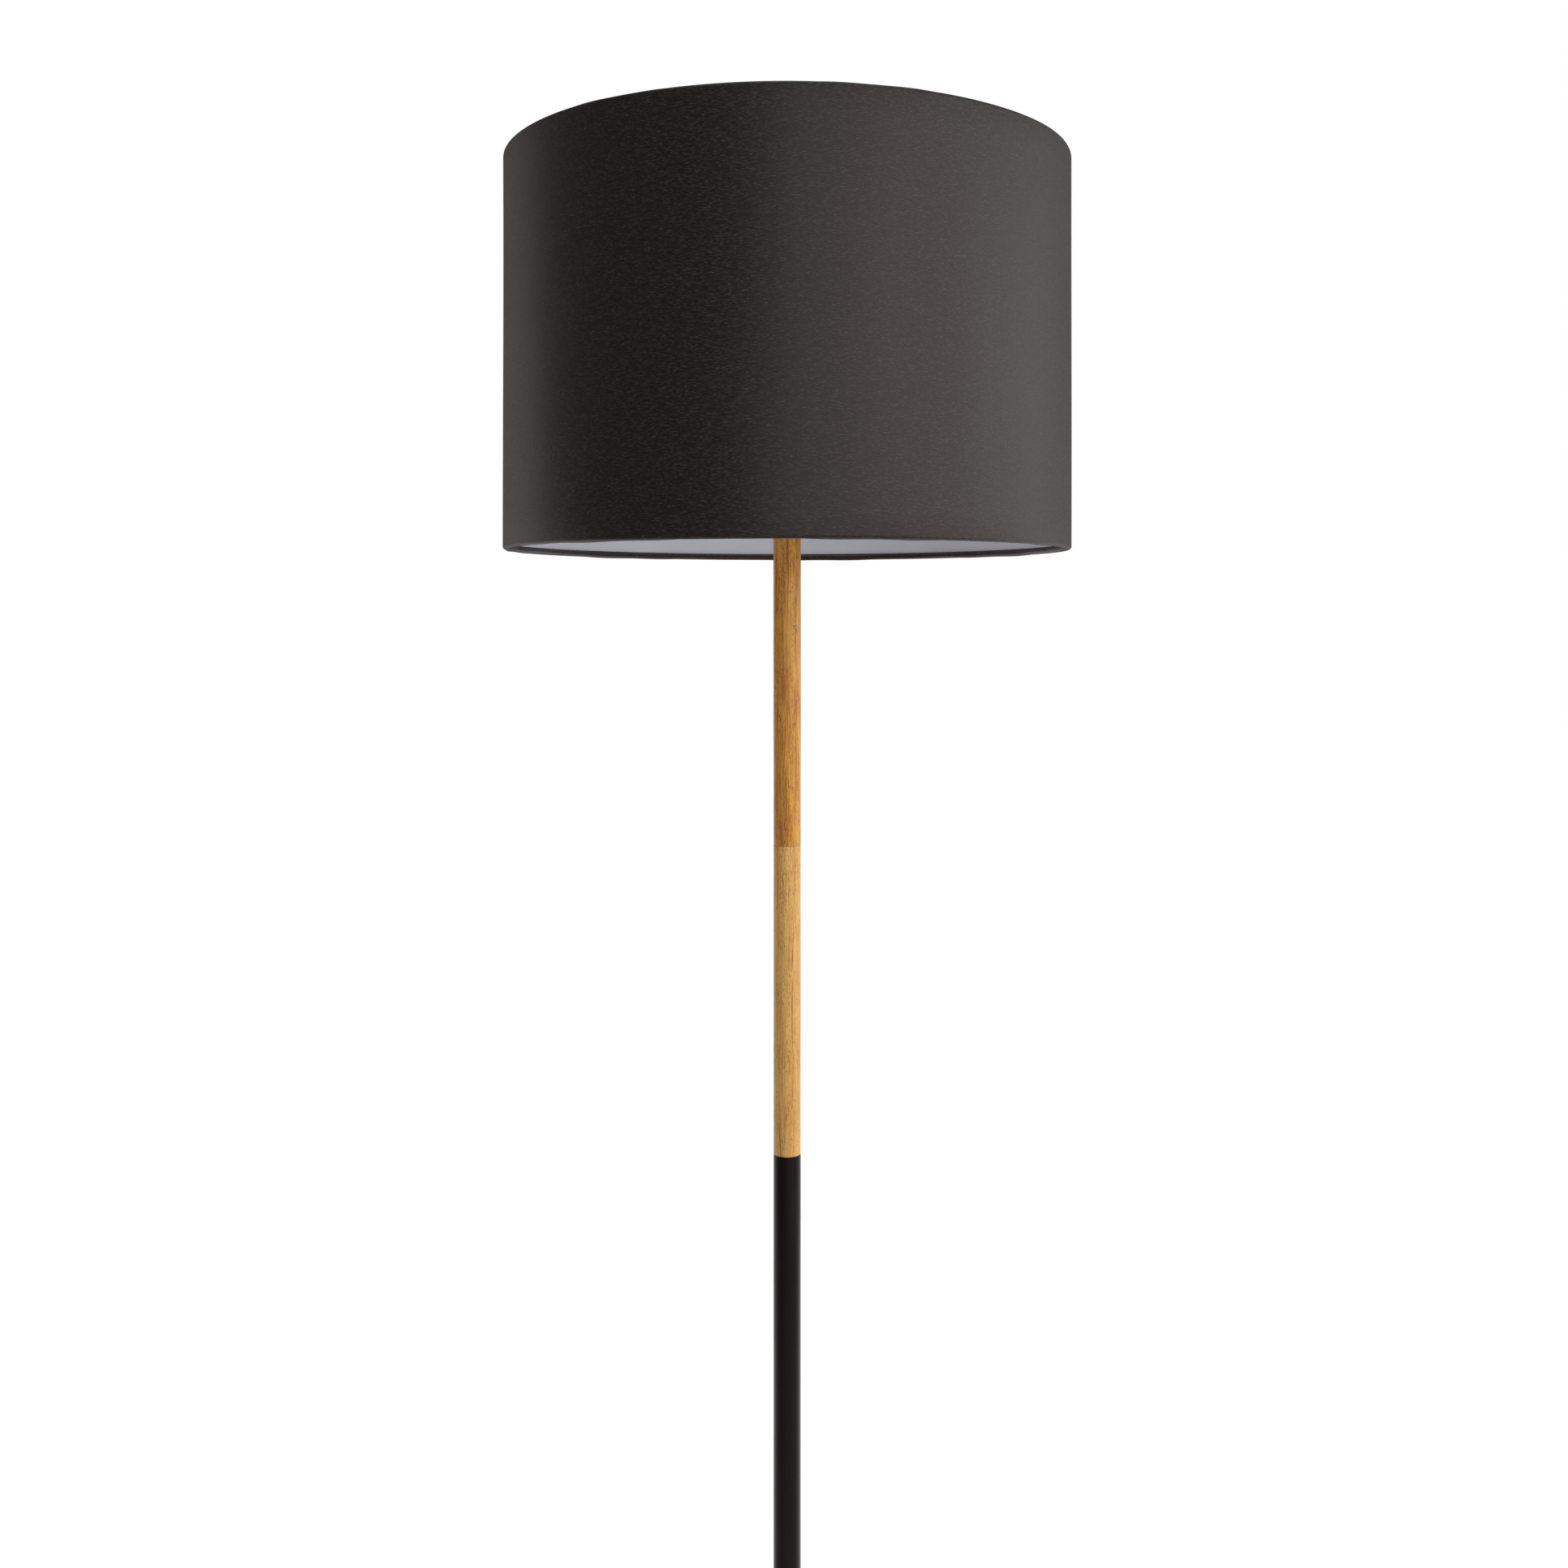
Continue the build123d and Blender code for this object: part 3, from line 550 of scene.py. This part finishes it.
for number in range(1, 4):
    low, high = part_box(f"foot_pad_{number}")
    pad_r = (high[0] - low[0]) / 2
    pad_h = high[2] - low[2]
    ribs = []
    for inner in (0.0042, 0.0055, 0.0068):
        ribs += [(inner, 0.0), (inner + 0.0006, 0.0), (inner + 0.0008, 0.0005), (inner + 0.0011, 0.0005)]
    outline = [(0.0040, 0.0026), (0.0040, 0.0)] + ribs[:-2] + [
        (pad_r - 0.0002, 0.0009), (pad_r, 0.0016), (pad_r, pad_h - 0.0006), (pad_r - 0.0006, pad_h),
        (0.0018, pad_h), (0.0018, 0.0026),
    ]
    middle = Matrix.Translation(((low[0] + high[0]) / 2, (low[1] + high[1]) / 2, 0))
    pad = turned(f"foot_pad_{number}_moulded", outline, 48, middle)
    pad.data.materials.append(rubber)
    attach(pad, "stand")
    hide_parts(f"foot_pad_{number}")

# ---------------------------------------------------------------- fixings and pipe
# Zinc-plated M10 threaded pipe, nuts, washers, tube plugs and leg bolts, brass inserts in
# the wood, and a black plastic bush where the cord would leave the hub.

for name in (
    "leg_bolts", "foot_pad_screws", "hub_washer", "hub_nut", "hub_threaded_pipe", "tube_plug_bottom",
    "tube_plug_top", "lower_joint_pipe", "upper_joint_pipe", "top_threaded_pipe",
):
    paint(name, zinc_steel)

turned_brass = turned_metal("turned_brass", (0.78, 0.56, 0.25, 1), 0.26)
for name in ("pole_wood_upper_inserts", "pole_wood_lower_inserts", "centre_contact", "switch_stem"):
    paint(name, turned_brass)

phenolic = moulded("phenolic", (0.012, 0.011, 0.011, 1), 0.34)
for name in ("cable_bush", "lampholder_body", "bulb_contact", "switch_knob"):
    paint(name, phenolic)

# ---------------------------------------------------------------- lampholder
# Spun steel cap and shell, powder coated black, with a card sleeve and an aluminium screw
# shell inside. The switch's brass stem comes out at the front and carries a fluted knob.

paint("lampholder_cap", satin_black)
paint("lampholder_shell", satin_black)
insulating_card = moulded("insulating_card", (0.34, 0.24, 0.13, 1), 0.75)
paint("lampholder_liner", insulating_card)
drawn_aluminium = turned_metal("drawn_aluminium", (0.80, 0.80, 0.81, 1), 0.28)
paint("screw_shell", drawn_aluminium)

# ---------------------------------------------------------------- harp
# Bent spring wire on a stamped saddle, both nickel plated, locked by two knurled sleeves.
# A stud with a cross-bored foot sits on top of the wire.

satin_nickel = turned_metal("satin_nickel", (0.66, 0.62, 0.56, 1), 0.30)
for name in ("harp_saddle", "harp", "harp_stud", "shade_spider"):
    paint(name, satin_nickel)


def nodes_group(name, inputs):
    """An empty Geometry Nodes tree with its named inputs, and its input and output nodes."""
    tree = bpy.data.node_groups.new(name, "GeometryNodeTree")
    tree.interface.new_socket("Geometry", in_out="INPUT", socket_type="NodeSocketGeometry")
    for label, kind in inputs:
        tree.interface.new_socket(label, in_out="INPUT", socket_type="NodeSocket" + kind)
    tree.interface.new_socket("Geometry", in_out="OUTPUT", socket_type="NodeSocketGeometry")
    return tree, tree.nodes.new("NodeGroupInput"), tree.nodes.new("NodeGroupOutput")


def finish_tree(tree, shape, given, result):
    """End a Geometry Nodes tree: its instances made real, and its material set."""
    real = add_node(tree, "GeometryNodeRealizeInstances", {0: shape})
    painted = add_node(tree, "GeometryNodeSetMaterial", {
        0: real.outputs[0], "Material": given.outputs["Material"],
    })
    tree.links.new(painted.outputs[0], result.inputs[0])


def grown(name, tree, values, start=None):
    """The mesh that a Geometry Nodes tree makes from its inputs, as a plain object."""
    seed = bpy.data.objects.new(name + "_seed", start or bpy.data.meshes.new(name + "_seed"))
    scene.collection.objects.link(seed)
    modifier = seed.modifiers.new("shape", "NODES")
    modifier.node_group = tree
    for item in tree.interface.items_tree:
        if item.in_out == "INPUT" and item.name in values:
            modifier[item.identifier] = values[item.name]
    bpy.context.view_layer.update()
    ready = seed.evaluated_get(bpy.context.evaluated_depsgraph_get())
    mesh = bpy.data.meshes.new_from_object(ready)
    mesh.name = name
    bpy.data.objects.remove(seed)
    return link_object(name, mesh)


def ridge_ring_tree():
    """Upright ridges in a ring about Z, like a coarse straight knurl."""
    tree, given, result = nodes_group(
        "Ridge ring",
        [
            ("Radius", "Float"), ("Middle", "Vector"), ("Count", "Int"), ("Ridge width", "Float"),
            ("Ridge height", "Float"), ("Material", "Material"),
        ],
    )
    ring = add_node(tree, "GeometryNodeCurvePrimitiveCircle", {
        "Resolution": given.outputs["Count"], "Radius": given.outputs["Radius"],
    })
    points = add_node(tree, "GeometryNodeCurveToPoints", {0: ring.outputs[0]}, mode="EVALUATED")
    ridge = add_node(tree, "GeometryNodeMeshCone", {
        "Vertices": 6, "Side Segments": 1, "Radius Top": given.outputs["Ridge width"],
        "Radius Bottom": given.outputs["Ridge width"], "Depth": given.outputs["Ridge height"],
    }, fill_type="TRIANGLE_FAN")
    drop = math_node(tree, "MULTIPLY", given.outputs["Ridge height"], -0.5)
    drop_vector = add_node(tree, "ShaderNodeCombineXYZ", {"Z": drop})
    centred = add_node(tree, "GeometryNodeTransform", {
        0: ridge.outputs[0], "Translation": drop_vector.outputs[0],
    })
    place = add_node(tree, "GeometryNodeInputPosition")
    parts = add_node(tree, "ShaderNodeSeparateXYZ", {0: place.outputs[0]})
    angle = math_node(tree, "ARCTAN2", parts.outputs["Y"], parts.outputs["X"])
    turn = add_node(tree, "ShaderNodeCombineXYZ", {"Z": angle})
    copies = add_node(tree, "GeometryNodeInstanceOnPoints", {
        "Points": points.outputs[0], "Instance": centred.outputs[0], "Rotation": turn.outputs[0],
    })
    raised = add_node(tree, "GeometryNodeTransform", {
        0: copies.outputs[0], "Translation": given.outputs["Middle"],
    })
    finish_tree(tree, raised.outputs[0], given, result)
    return tree


ridge_ring = ridge_ring_tree()

for side in ("left", "right"):
    node_name = f"harp_sleeve_{side}"
    paint(node_name, satin_nickel)
    low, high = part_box(node_name)
    knurl = grown(node_name + "_knurl", ridge_ring, {
        "Radius": (high[0] - low[0]) / 2 - 0.00002,
        "Middle": ((low[0] + high[0]) / 2, 0.0, (low[2] + high[2]) / 2),
        "Count": 28, "Ridge width": 0.00026, "Ridge height": (high[2] - low[2]) * 0.55,
        "Material": satin_nickel,
    })
    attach(knurl, f"sleeve_{side}")

# ---------------------------------------------------------------- bulb
# Screw-cap bulb: a drawn aluminium cap on a white moulded housing, with a frosted opal
# globe pushed on top. It turns into the lampholder's screw shell.

paint("bulb_cap", drawn_aluminium)


def bulb_plastic(name, colour, roughness, glow_through):
    """White moulded plastic, faintly uneven, that lets a little light through."""
    made, tree, shader = principled(name, Subsurface_Weight=glow_through, Subsurface_Scale=0.004)
    place = add_node(tree, "ShaderNodeTexCoord").outputs["Object"]
    uneven = stretched_noise(tree, place, (60, 60, 60), 3.0)
    shade_down = tuple(c * 0.94 for c in colour[:3]) + (1,)
    tree.links.new(blend_colour(tree, uneven, colour, shade_down), shader.inputs["Base Color"])
    tree.links.new(math_node(tree, "MULTIPLY_ADD", uneven, 0.08, roughness), shader.inputs["Roughness"])
    bump(tree, shader, stretched_noise(tree, place, (1800, 1800, 1800), 2.0), 0.00001)
    return made


housing_white = bulb_plastic("housing_white", (0.84, 0.84, 0.83, 1), 0.30, 0.05)
opal_white = bulb_plastic("opal_white", (0.93, 0.90, 0.84, 1), 0.48, 0.12)
paint("bulb_housing", housing_white)
paint("bulb_globe", opal_white)

# ---------------------------------------------------------------- finial
# Turned steel knob, powder coated black, with a ring of grip ridges round its foot. It
# screws onto the stud and clamps the spider's washer.

low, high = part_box("finial")
knob_r = (high[0] - low[0]) / 2
knob_z = high[2] - knob_r
neck_r = 0.0048
foot_r = 0.0065
foot_h = 0.0020
neck_foot_z = low[2] + 0.0032
neck_top_z = low[2] + 0.005
bore_r = 0.00315
bore_top = low[2] + 0.015
knob_steps = 28
outline = rounded(
    [(bore_r, low[2]), (foot_r, low[2]), (foot_r, low[2] + foot_h), (neck_r, neck_foot_z)],
    (0, 0.0003, 0.0003, 0.0002),
)
start = math.asin((knob_z - neck_top_z) / knob_r)
for step in range(knob_steps + 1):
    a = -start + (math.pi / 2 + start) * step / knob_steps
    outline.append((max(knob_r * math.cos(a), 0), knob_z + knob_r * math.sin(a)))
outline += [(0, bore_top), (bore_r, bore_top)]
finial = turned("finial_turned", outline, 64)
finial.data.materials.append(satin_black)
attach(finial, "finial")
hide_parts("finial")
finial_grip = grown("finial_grip", ridge_ring, {
    "Radius": foot_r - 0.00005, "Middle": (0.0, 0.0, low[2] + foot_h / 2), "Count": 40,
    "Ridge width": 0.00028, "Ridge height": foot_h * 0.6, "Material": satin_black,
})
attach(finial_grip, "finial")

# ---------------------------------------------------------------- shade
# A hard drum: near-black sateen laminated to a white styrene sheet, rolled to a cylinder
# and glued down its back. The cloth is turned in round a wire ring at each end.

ring_wire_r = (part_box("shade_bottom_ring")[1][2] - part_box("shade_bottom_ring")[0][2]) / 2
shade_low, shade_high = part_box("shade_fabric")
cloth_t = 0.0007
liner_t = 0.0006
wrap_r = ring_wire_r + 0.00005 + cloth_t
ring_r = shade_r - wrap_r
hem_reach = 0.0054
arc_steps = 14
arm_angles = [math.radians(a) for a in (90, 210, 330)]


def hem_path(ring_z, end_z, side):
    """The middle of the cloth from the hem's loose end, round the ring, to the outer wall."""
    middle_r = wrap_r - cloth_t / 2
    path = [(shade_r - cloth_t - liner_t - 0.0005, end_z + side * hem_reach)]
    for step in range(arc_steps + 1):
        a = math.radians(100 + 260 * step / arc_steps)
        path.append((ring_r + middle_r * math.cos(a), ring_z + side * middle_r * math.sin(a)))
    return path


def thickened(path, thickness):
    """A closed outline of that thickness about an open path."""
    first, second = [], []
    for i, point in enumerate(path):
        before, after = Vector(path[max(i - 1, 0)]), Vector(path[min(i + 1, len(path) - 1)])
        run = (after - before).normalized()
        step = Vector((run.y, -run.x)) * thickness / 2
        first.append(tuple(Vector(point) + step))
        second.append(tuple(Vector(point) - step))
    return first + second[::-1]


def wrapped_round_tree():
    """A closed outline of points, in radius and height, carried round Z in equal columns. Its
    UV map is in metres: round the drum, and along the cloth."""
    tree, given, result = nodes_group(
        "Wrapped round", [("Columns", "Int"), ("Girth", "Float"), ("Material", "Material")]
    )
    size = add_node(tree, "GeometryNodeAttributeDomainSize", {0: given.outputs["Geometry"]})
    rows = math_node(tree, "ADD", size.outputs["Point Count"], 1.0)
    columns = math_node(tree, "ADD", given.outputs["Columns"], 1.0)
    sheet = add_node(tree, "GeometryNodeMeshGrid", {"Vertices X": columns, "Vertices Y": rows})
    index = add_node(tree, "GeometryNodeInputIndex").outputs[0]
    column = math_node(tree, "FLOOR", math_node(tree, "DIVIDE", math_node(tree, "ADD", index, 0.5), rows))
    row = math_node(tree, "SUBTRACT", index, math_node(tree, "MULTIPLY", column, rows))
    source = math_node(tree, "MODULO", math_node(tree, "ADD", row, 0.25), size.outputs["Point Count"])
    source = math_node(tree, "FLOOR", source)
    where = add_node(tree, "GeometryNodeInputPosition").outputs[0]
    outline_point = add_node(
        tree, "GeometryNodeSampleIndex", {0: given.outputs["Geometry"], "Index": source},
        data_type="FLOAT_VECTOR", domain="POINT",
    )
    tree.links.new(where, outline_point.inputs["Value"])
    parts = add_node(tree, "ShaderNodeSeparateXYZ", {0: outline_point.outputs[0]})
    share = math_node(tree, "DIVIDE", column, given.outputs["Columns"])
    angle = math_node(tree, "MULTIPLY_ADD", share, 2 * math.pi, math.pi / 2)
    place = add_node(tree, "ShaderNodeCombineXYZ", {
        "X": math_node(tree, "MULTIPLY", parts.outputs["X"], math_node(tree, "COSINE", angle)),
        "Y": math_node(tree, "MULTIPLY", parts.outputs["X"], math_node(tree, "SINE", angle)),
        "Z": parts.outputs["Z"],
    })
    along = add_node(tree, "ShaderNodeCombineXYZ", {
        "X": math_node(tree, "MULTIPLY", share, given.outputs["Girth"]), "Y": parts.outputs["Y"],
    })
    at_points = add_node(
        tree, "GeometryNodeFieldOnDomain", {0: along.outputs[0]}, data_type="FLOAT_VECTOR", domain="POINT"
    )
    mapped = add_node(tree, "GeometryNodeStoreNamedAttribute", {
        0: sheet.outputs[0], "Name": "UVMap", "Value": at_points.outputs[0],
    }, data_type="FLOAT2", domain="CORNER")
    bent = add_node(tree, "GeometryNodeSetPosition", {0: mapped.outputs[0], "Position": place.outputs[0]})
    closed = add_node(tree, "GeometryNodeMergeByDistance", {0: bent.outputs[0], "Distance": 1e-6})
    finish_tree(tree, closed.outputs[0], given, result)
    return tree


wrapped_round = wrapped_round_tree()


def rolled(name, outline, columns, material):
    """A closed outline rolled round the drum's axis. The outline's Y holds the way along the
    cloth, for its UV map."""
    seed = bpy.data.meshes.new(name + "_outline")
    gone, last, points = 0.0, Vector(outline[0]), []
    for radius, height in outline:
        gone += (Vector((radius, height)) - last).length
        last = Vector((radius, height))
        points.append((radius, gone, height))
    seed.from_pydata(points, [], [])
    piece = grown(name, wrapped_round, {
        "Columns": columns, "Girth": 2 * math.pi * shade_r, "Material": material,
    }, seed)
    solid = bmesh.new()
    solid.from_mesh(piece.data)
    bmesh.ops.recalc_face_normals(solid, faces=solid.faces)
    solid.to_mesh(piece.data)
    solid.free()
    piece.data.set_sharp_from_angle(angle=math.radians(50))
    return piece


def sateen_group():
    """Sateen: fine weft threads that float over the warp in short dashes of uneven brightness,
    with a painted highlight along each dash's crown.
    """
    tree, given, result = shader_group(
        "Sateen",
        [
            ("Cloth", "Vector", None), ("Thread", "Color", (0.02, 0.02, 0.02, 1)),
            ("Bright", "Color", (0.1, 0.1, 0.1, 1)), ("Pitch", "Float", 0.00034),
            ("Float length", "Float", 0.0021), ("Flecks", "Float", 0.5),
        ],
        [("Color", "Color"), ("Roughness", "Float"), ("Height", "Float")],
    )
    parts = add_node(tree, "ShaderNodeSeparateXYZ", {0: given.outputs["Cloth"]})
    up = math_node(tree, "DIVIDE", parts.outputs["Y"], given.outputs["Pitch"])
    row = math_node(tree, "FLOOR", up)
    row_shift = add_node(tree, "ShaderNodeTexWhiteNoise", {"W": row}, noise_dimensions="1D")
    across = math_node(tree, "DIVIDE", parts.outputs["X"], given.outputs["Float length"])
    across = math_node(tree, "MULTIPLY_ADD", row_shift.outputs["Value"], 23.0, across)
    dash = math_node(tree, "FLOOR", across)
    # Painted highlight: each dash is painted lighter along its crown and darker towards its edges and the
    # gaps between threads.
    thread_round = math_node(tree, "MULTIPLY", math_node(tree, "FRACT", up), math.pi)
    thread_round = math_node(tree, "SINE", thread_round)
    dash_round = math_node(tree, "MULTIPLY", math_node(tree, "FRACT", across), math.pi)
    dash_round = math_node(tree, "SINE", dash_round)
    dash_round = math_node(tree, "POWER", dash_round, 0.35)
    painted_crown_highlight = math_node(tree, "MULTIPLY", thread_round, dash_round)
    nap = stretched_noise(tree, given.outputs["Cloth"], (900, 3000, 1), 2.0)
    cell = add_node(tree, "ShaderNodeCombineXYZ", {"X": dash, "Y": row})
    chance = add_node(tree, "ShaderNodeTexWhiteNoise", {"Vector": cell.outputs[0]}, noise_dimensions="2D")
    chance = chance.outputs["Value"]
    fleck = math_node(tree, "MULTIPLY", math_node(tree, "POWER", chance, 5.0), given.outputs["Flecks"])
    slub = ramp(tree, stretched_noise(tree, given.outputs["Cloth"], (210, 1500, 1), 3.0, 0.6), 0.45, 0.78)
    # Real slubs and random flecks, plus the painted crown highlight, mix the thread towards Bright.
    light = math_node(tree, "MULTIPLY_ADD", slub, 0.30, fleck)
    light = math_node(tree, "MULTIPLY_ADD", painted_crown_highlight, 0.12, light, clamp=True)
    colour = blend_colour(tree, light, given.outputs["Thread"], given.outputs["Bright"])
    rough = math_node(tree, "MULTIPLY_ADD", chance, 0.12, 0.30)
    relief = math_node(tree, "MULTIPLY_ADD", slub, 0.5, nap)
    for label, value in (("Color", colour), ("Roughness", rough), ("Height", relief)):
        tree.links.new(value, result.inputs[label])
    return tree


sateen = sateen_group()
black_sateen, tree, shader = principled("black_sateen", Sheen_Weight=0.03, Sheen_Roughness=0.42)
shader.inputs["Sheen Tint"].default_value = (0.85, 0.78, 0.78, 1)
shader.inputs["Specular Tint"].default_value = (1.0, 0.84, 0.85, 1)
shader.inputs["Specular IOR Level"].default_value = 0.42
cloth_place = add_node(tree, "ShaderNodeUVMap", uv_map="UVMap")
weave = add_node(tree, "ShaderNodeGroup", node_tree=sateen)
tree.links.new(cloth_place.outputs["UV"], weave.inputs["Cloth"])
for label, value in (
    ("Thread", (0.0070, 0.0056, 0.0052, 1)), ("Bright", (0.046, 0.039, 0.038, 1)),
    ("Pitch", 0.00036), ("Float length", 0.0022), ("Flecks", 1.0),
):
    weave.inputs[label].default_value = value
tree.links.new(weave.outputs["Color"], shader.inputs["Base Color"])
facing = add_node(tree, "ShaderNodeLayerWeight", {"Blend": 0.5}).outputs["Facing"]
fuzz = math_node(tree, "MULTIPLY", math_node(tree, "POWER", facing, 2.5), 0.5)
cloth_roughness = math_node(tree, "ADD", weave.outputs["Roughness"], fuzz, clamp=True)
tree.links.new(cloth_roughness, shader.inputs["Roughness"])
bump(tree, shader, weave.outputs["Height"], 0.00009)

ring_low_z = shade_low[2] + wrap_r
ring_high_z = shade_high[2] - wrap_r
wall_rows = 16
bottom_hem = hem_path(ring_low_z, shade_low[2], 1)
top_hem = hem_path(ring_high_z, shade_high[2], -1)
wall_r = shade_r - cloth_t / 2
wall = [(wall_r, ring_low_z + (ring_high_z - ring_low_z) * i / wall_rows) for i in range(1, wall_rows)]
cloth_outline = thickened(bottom_hem + wall + top_hem[::-1], cloth_t)
shade_cloth = rolled("shade_cloth", cloth_outline, 720, black_sateen)

seam_width = 0.012
seam_lift = 0.00045
arm_bulge = 0.0029
arm_spread = 0.0030
for vertex in shade_cloth.data.vertices:
    x, y, z = vertex.co
    angle = math.atan2(y, x)
    reach = math.hypot(x, y)
    uneven = 0.00022 * math.sin(3 * angle + 0.7) * math.sin(9 * z + 1.0)
    uneven += 0.00012 * math.sin(11 * angle + 17 * z)
    behind = (angle - math.pi / 2) * shade_r
    lap = seam_lift if 0 < behind < seam_width and reach > wall_r - cloth_t else 0.0
    push = uneven + lap
    if z > shade_high[2] - hem_reach - cloth_t and reach < ring_r + wrap_r * 0.3:
        for arm in arm_angles:
            away = math.remainder(angle - arm, 2 * math.pi) * shade_r
            push -= arm_bulge * math.exp(-(away / arm_spread) ** 2)
    if reach < shade_r - wrap_r:
        loose = 0.00035 * math.sin(7 * angle + 1.1) + 0.0002 * math.sin(23 * angle)
        vertex.co.z += loose if z < rim_z + 0.05 else -loose
    vertex.co.x += push * x / reach
    vertex.co.y += push * y / reach
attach(shade_cloth, "shade")
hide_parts("shade_fabric")

# ---------------------------------------------------------------- shade lining
# White styrene sheet glued behind the cloth, matte, which makes the drum stiff. It stops
# short of the wire rings, and its ends lap down the back.

lining_white, tree, shader = principled("lining_white", Subsurface_Weight=0.10, Subsurface_Scale=0.003)
lining_place = add_node(tree, "ShaderNodeUVMap", uv_map="UVMap").outputs["UV"]
laid = stretched_noise(tree, lining_place, (700, 90, 1), 3.0)
cast = ramp(tree, stretched_noise(tree, lining_place, (9, 12, 1), 3.0), 0.3, 0.7)
tree.links.new(
    blend_colour(tree, cast, (0.86, 0.85, 0.90, 1), (0.82, 0.81, 0.86, 1)), shader.inputs["Base Color"]
)
tree.links.new(math_node(tree, "MULTIPLY_ADD", laid, 0.12, 0.50), shader.inputs["Roughness"])
bump(tree, shader, laid, 0.00003)

liner_out = shade_r - cloth_t - 0.00002
liner_in = liner_out - liner_t
liner_low = ring_low_z + wrap_r + 0.0002
liner_high = ring_high_z - wrap_r - 0.0002
liner_rows = 12
liner_step = (liner_high - liner_low) / liner_rows
inner_face = [(liner_in, liner_low + liner_step * i) for i in range(liner_rows + 1)]
outer_face = [(liner_out, z) for _, z in reversed(inner_face)]
lining = rolled("shade_lining", inner_face + outer_face, 360, lining_white)
for vertex in lining.data.vertices:
    x, y, z = vertex.co
    behind = (math.atan2(y, x) - math.pi / 2) * shade_r
    if -seam_width < behind < 0 and math.hypot(x, y) < liner_in + liner_t / 2:
        vertex.co.x -= seam_lift * x / liner_in
        vertex.co.y -= seam_lift * y / liner_in
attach(lining, "shade")
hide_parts("shade_liner")

# ---------------------------------------------------------------- shade rings
# Galvanised steel wire bent to rings, which keep the drum round. Each lies inside the
# turned-in cloth at one end of the drum.

for name in ("shade_top_ring", "shade_bottom_ring"):
    paint(name, zinc_steel)
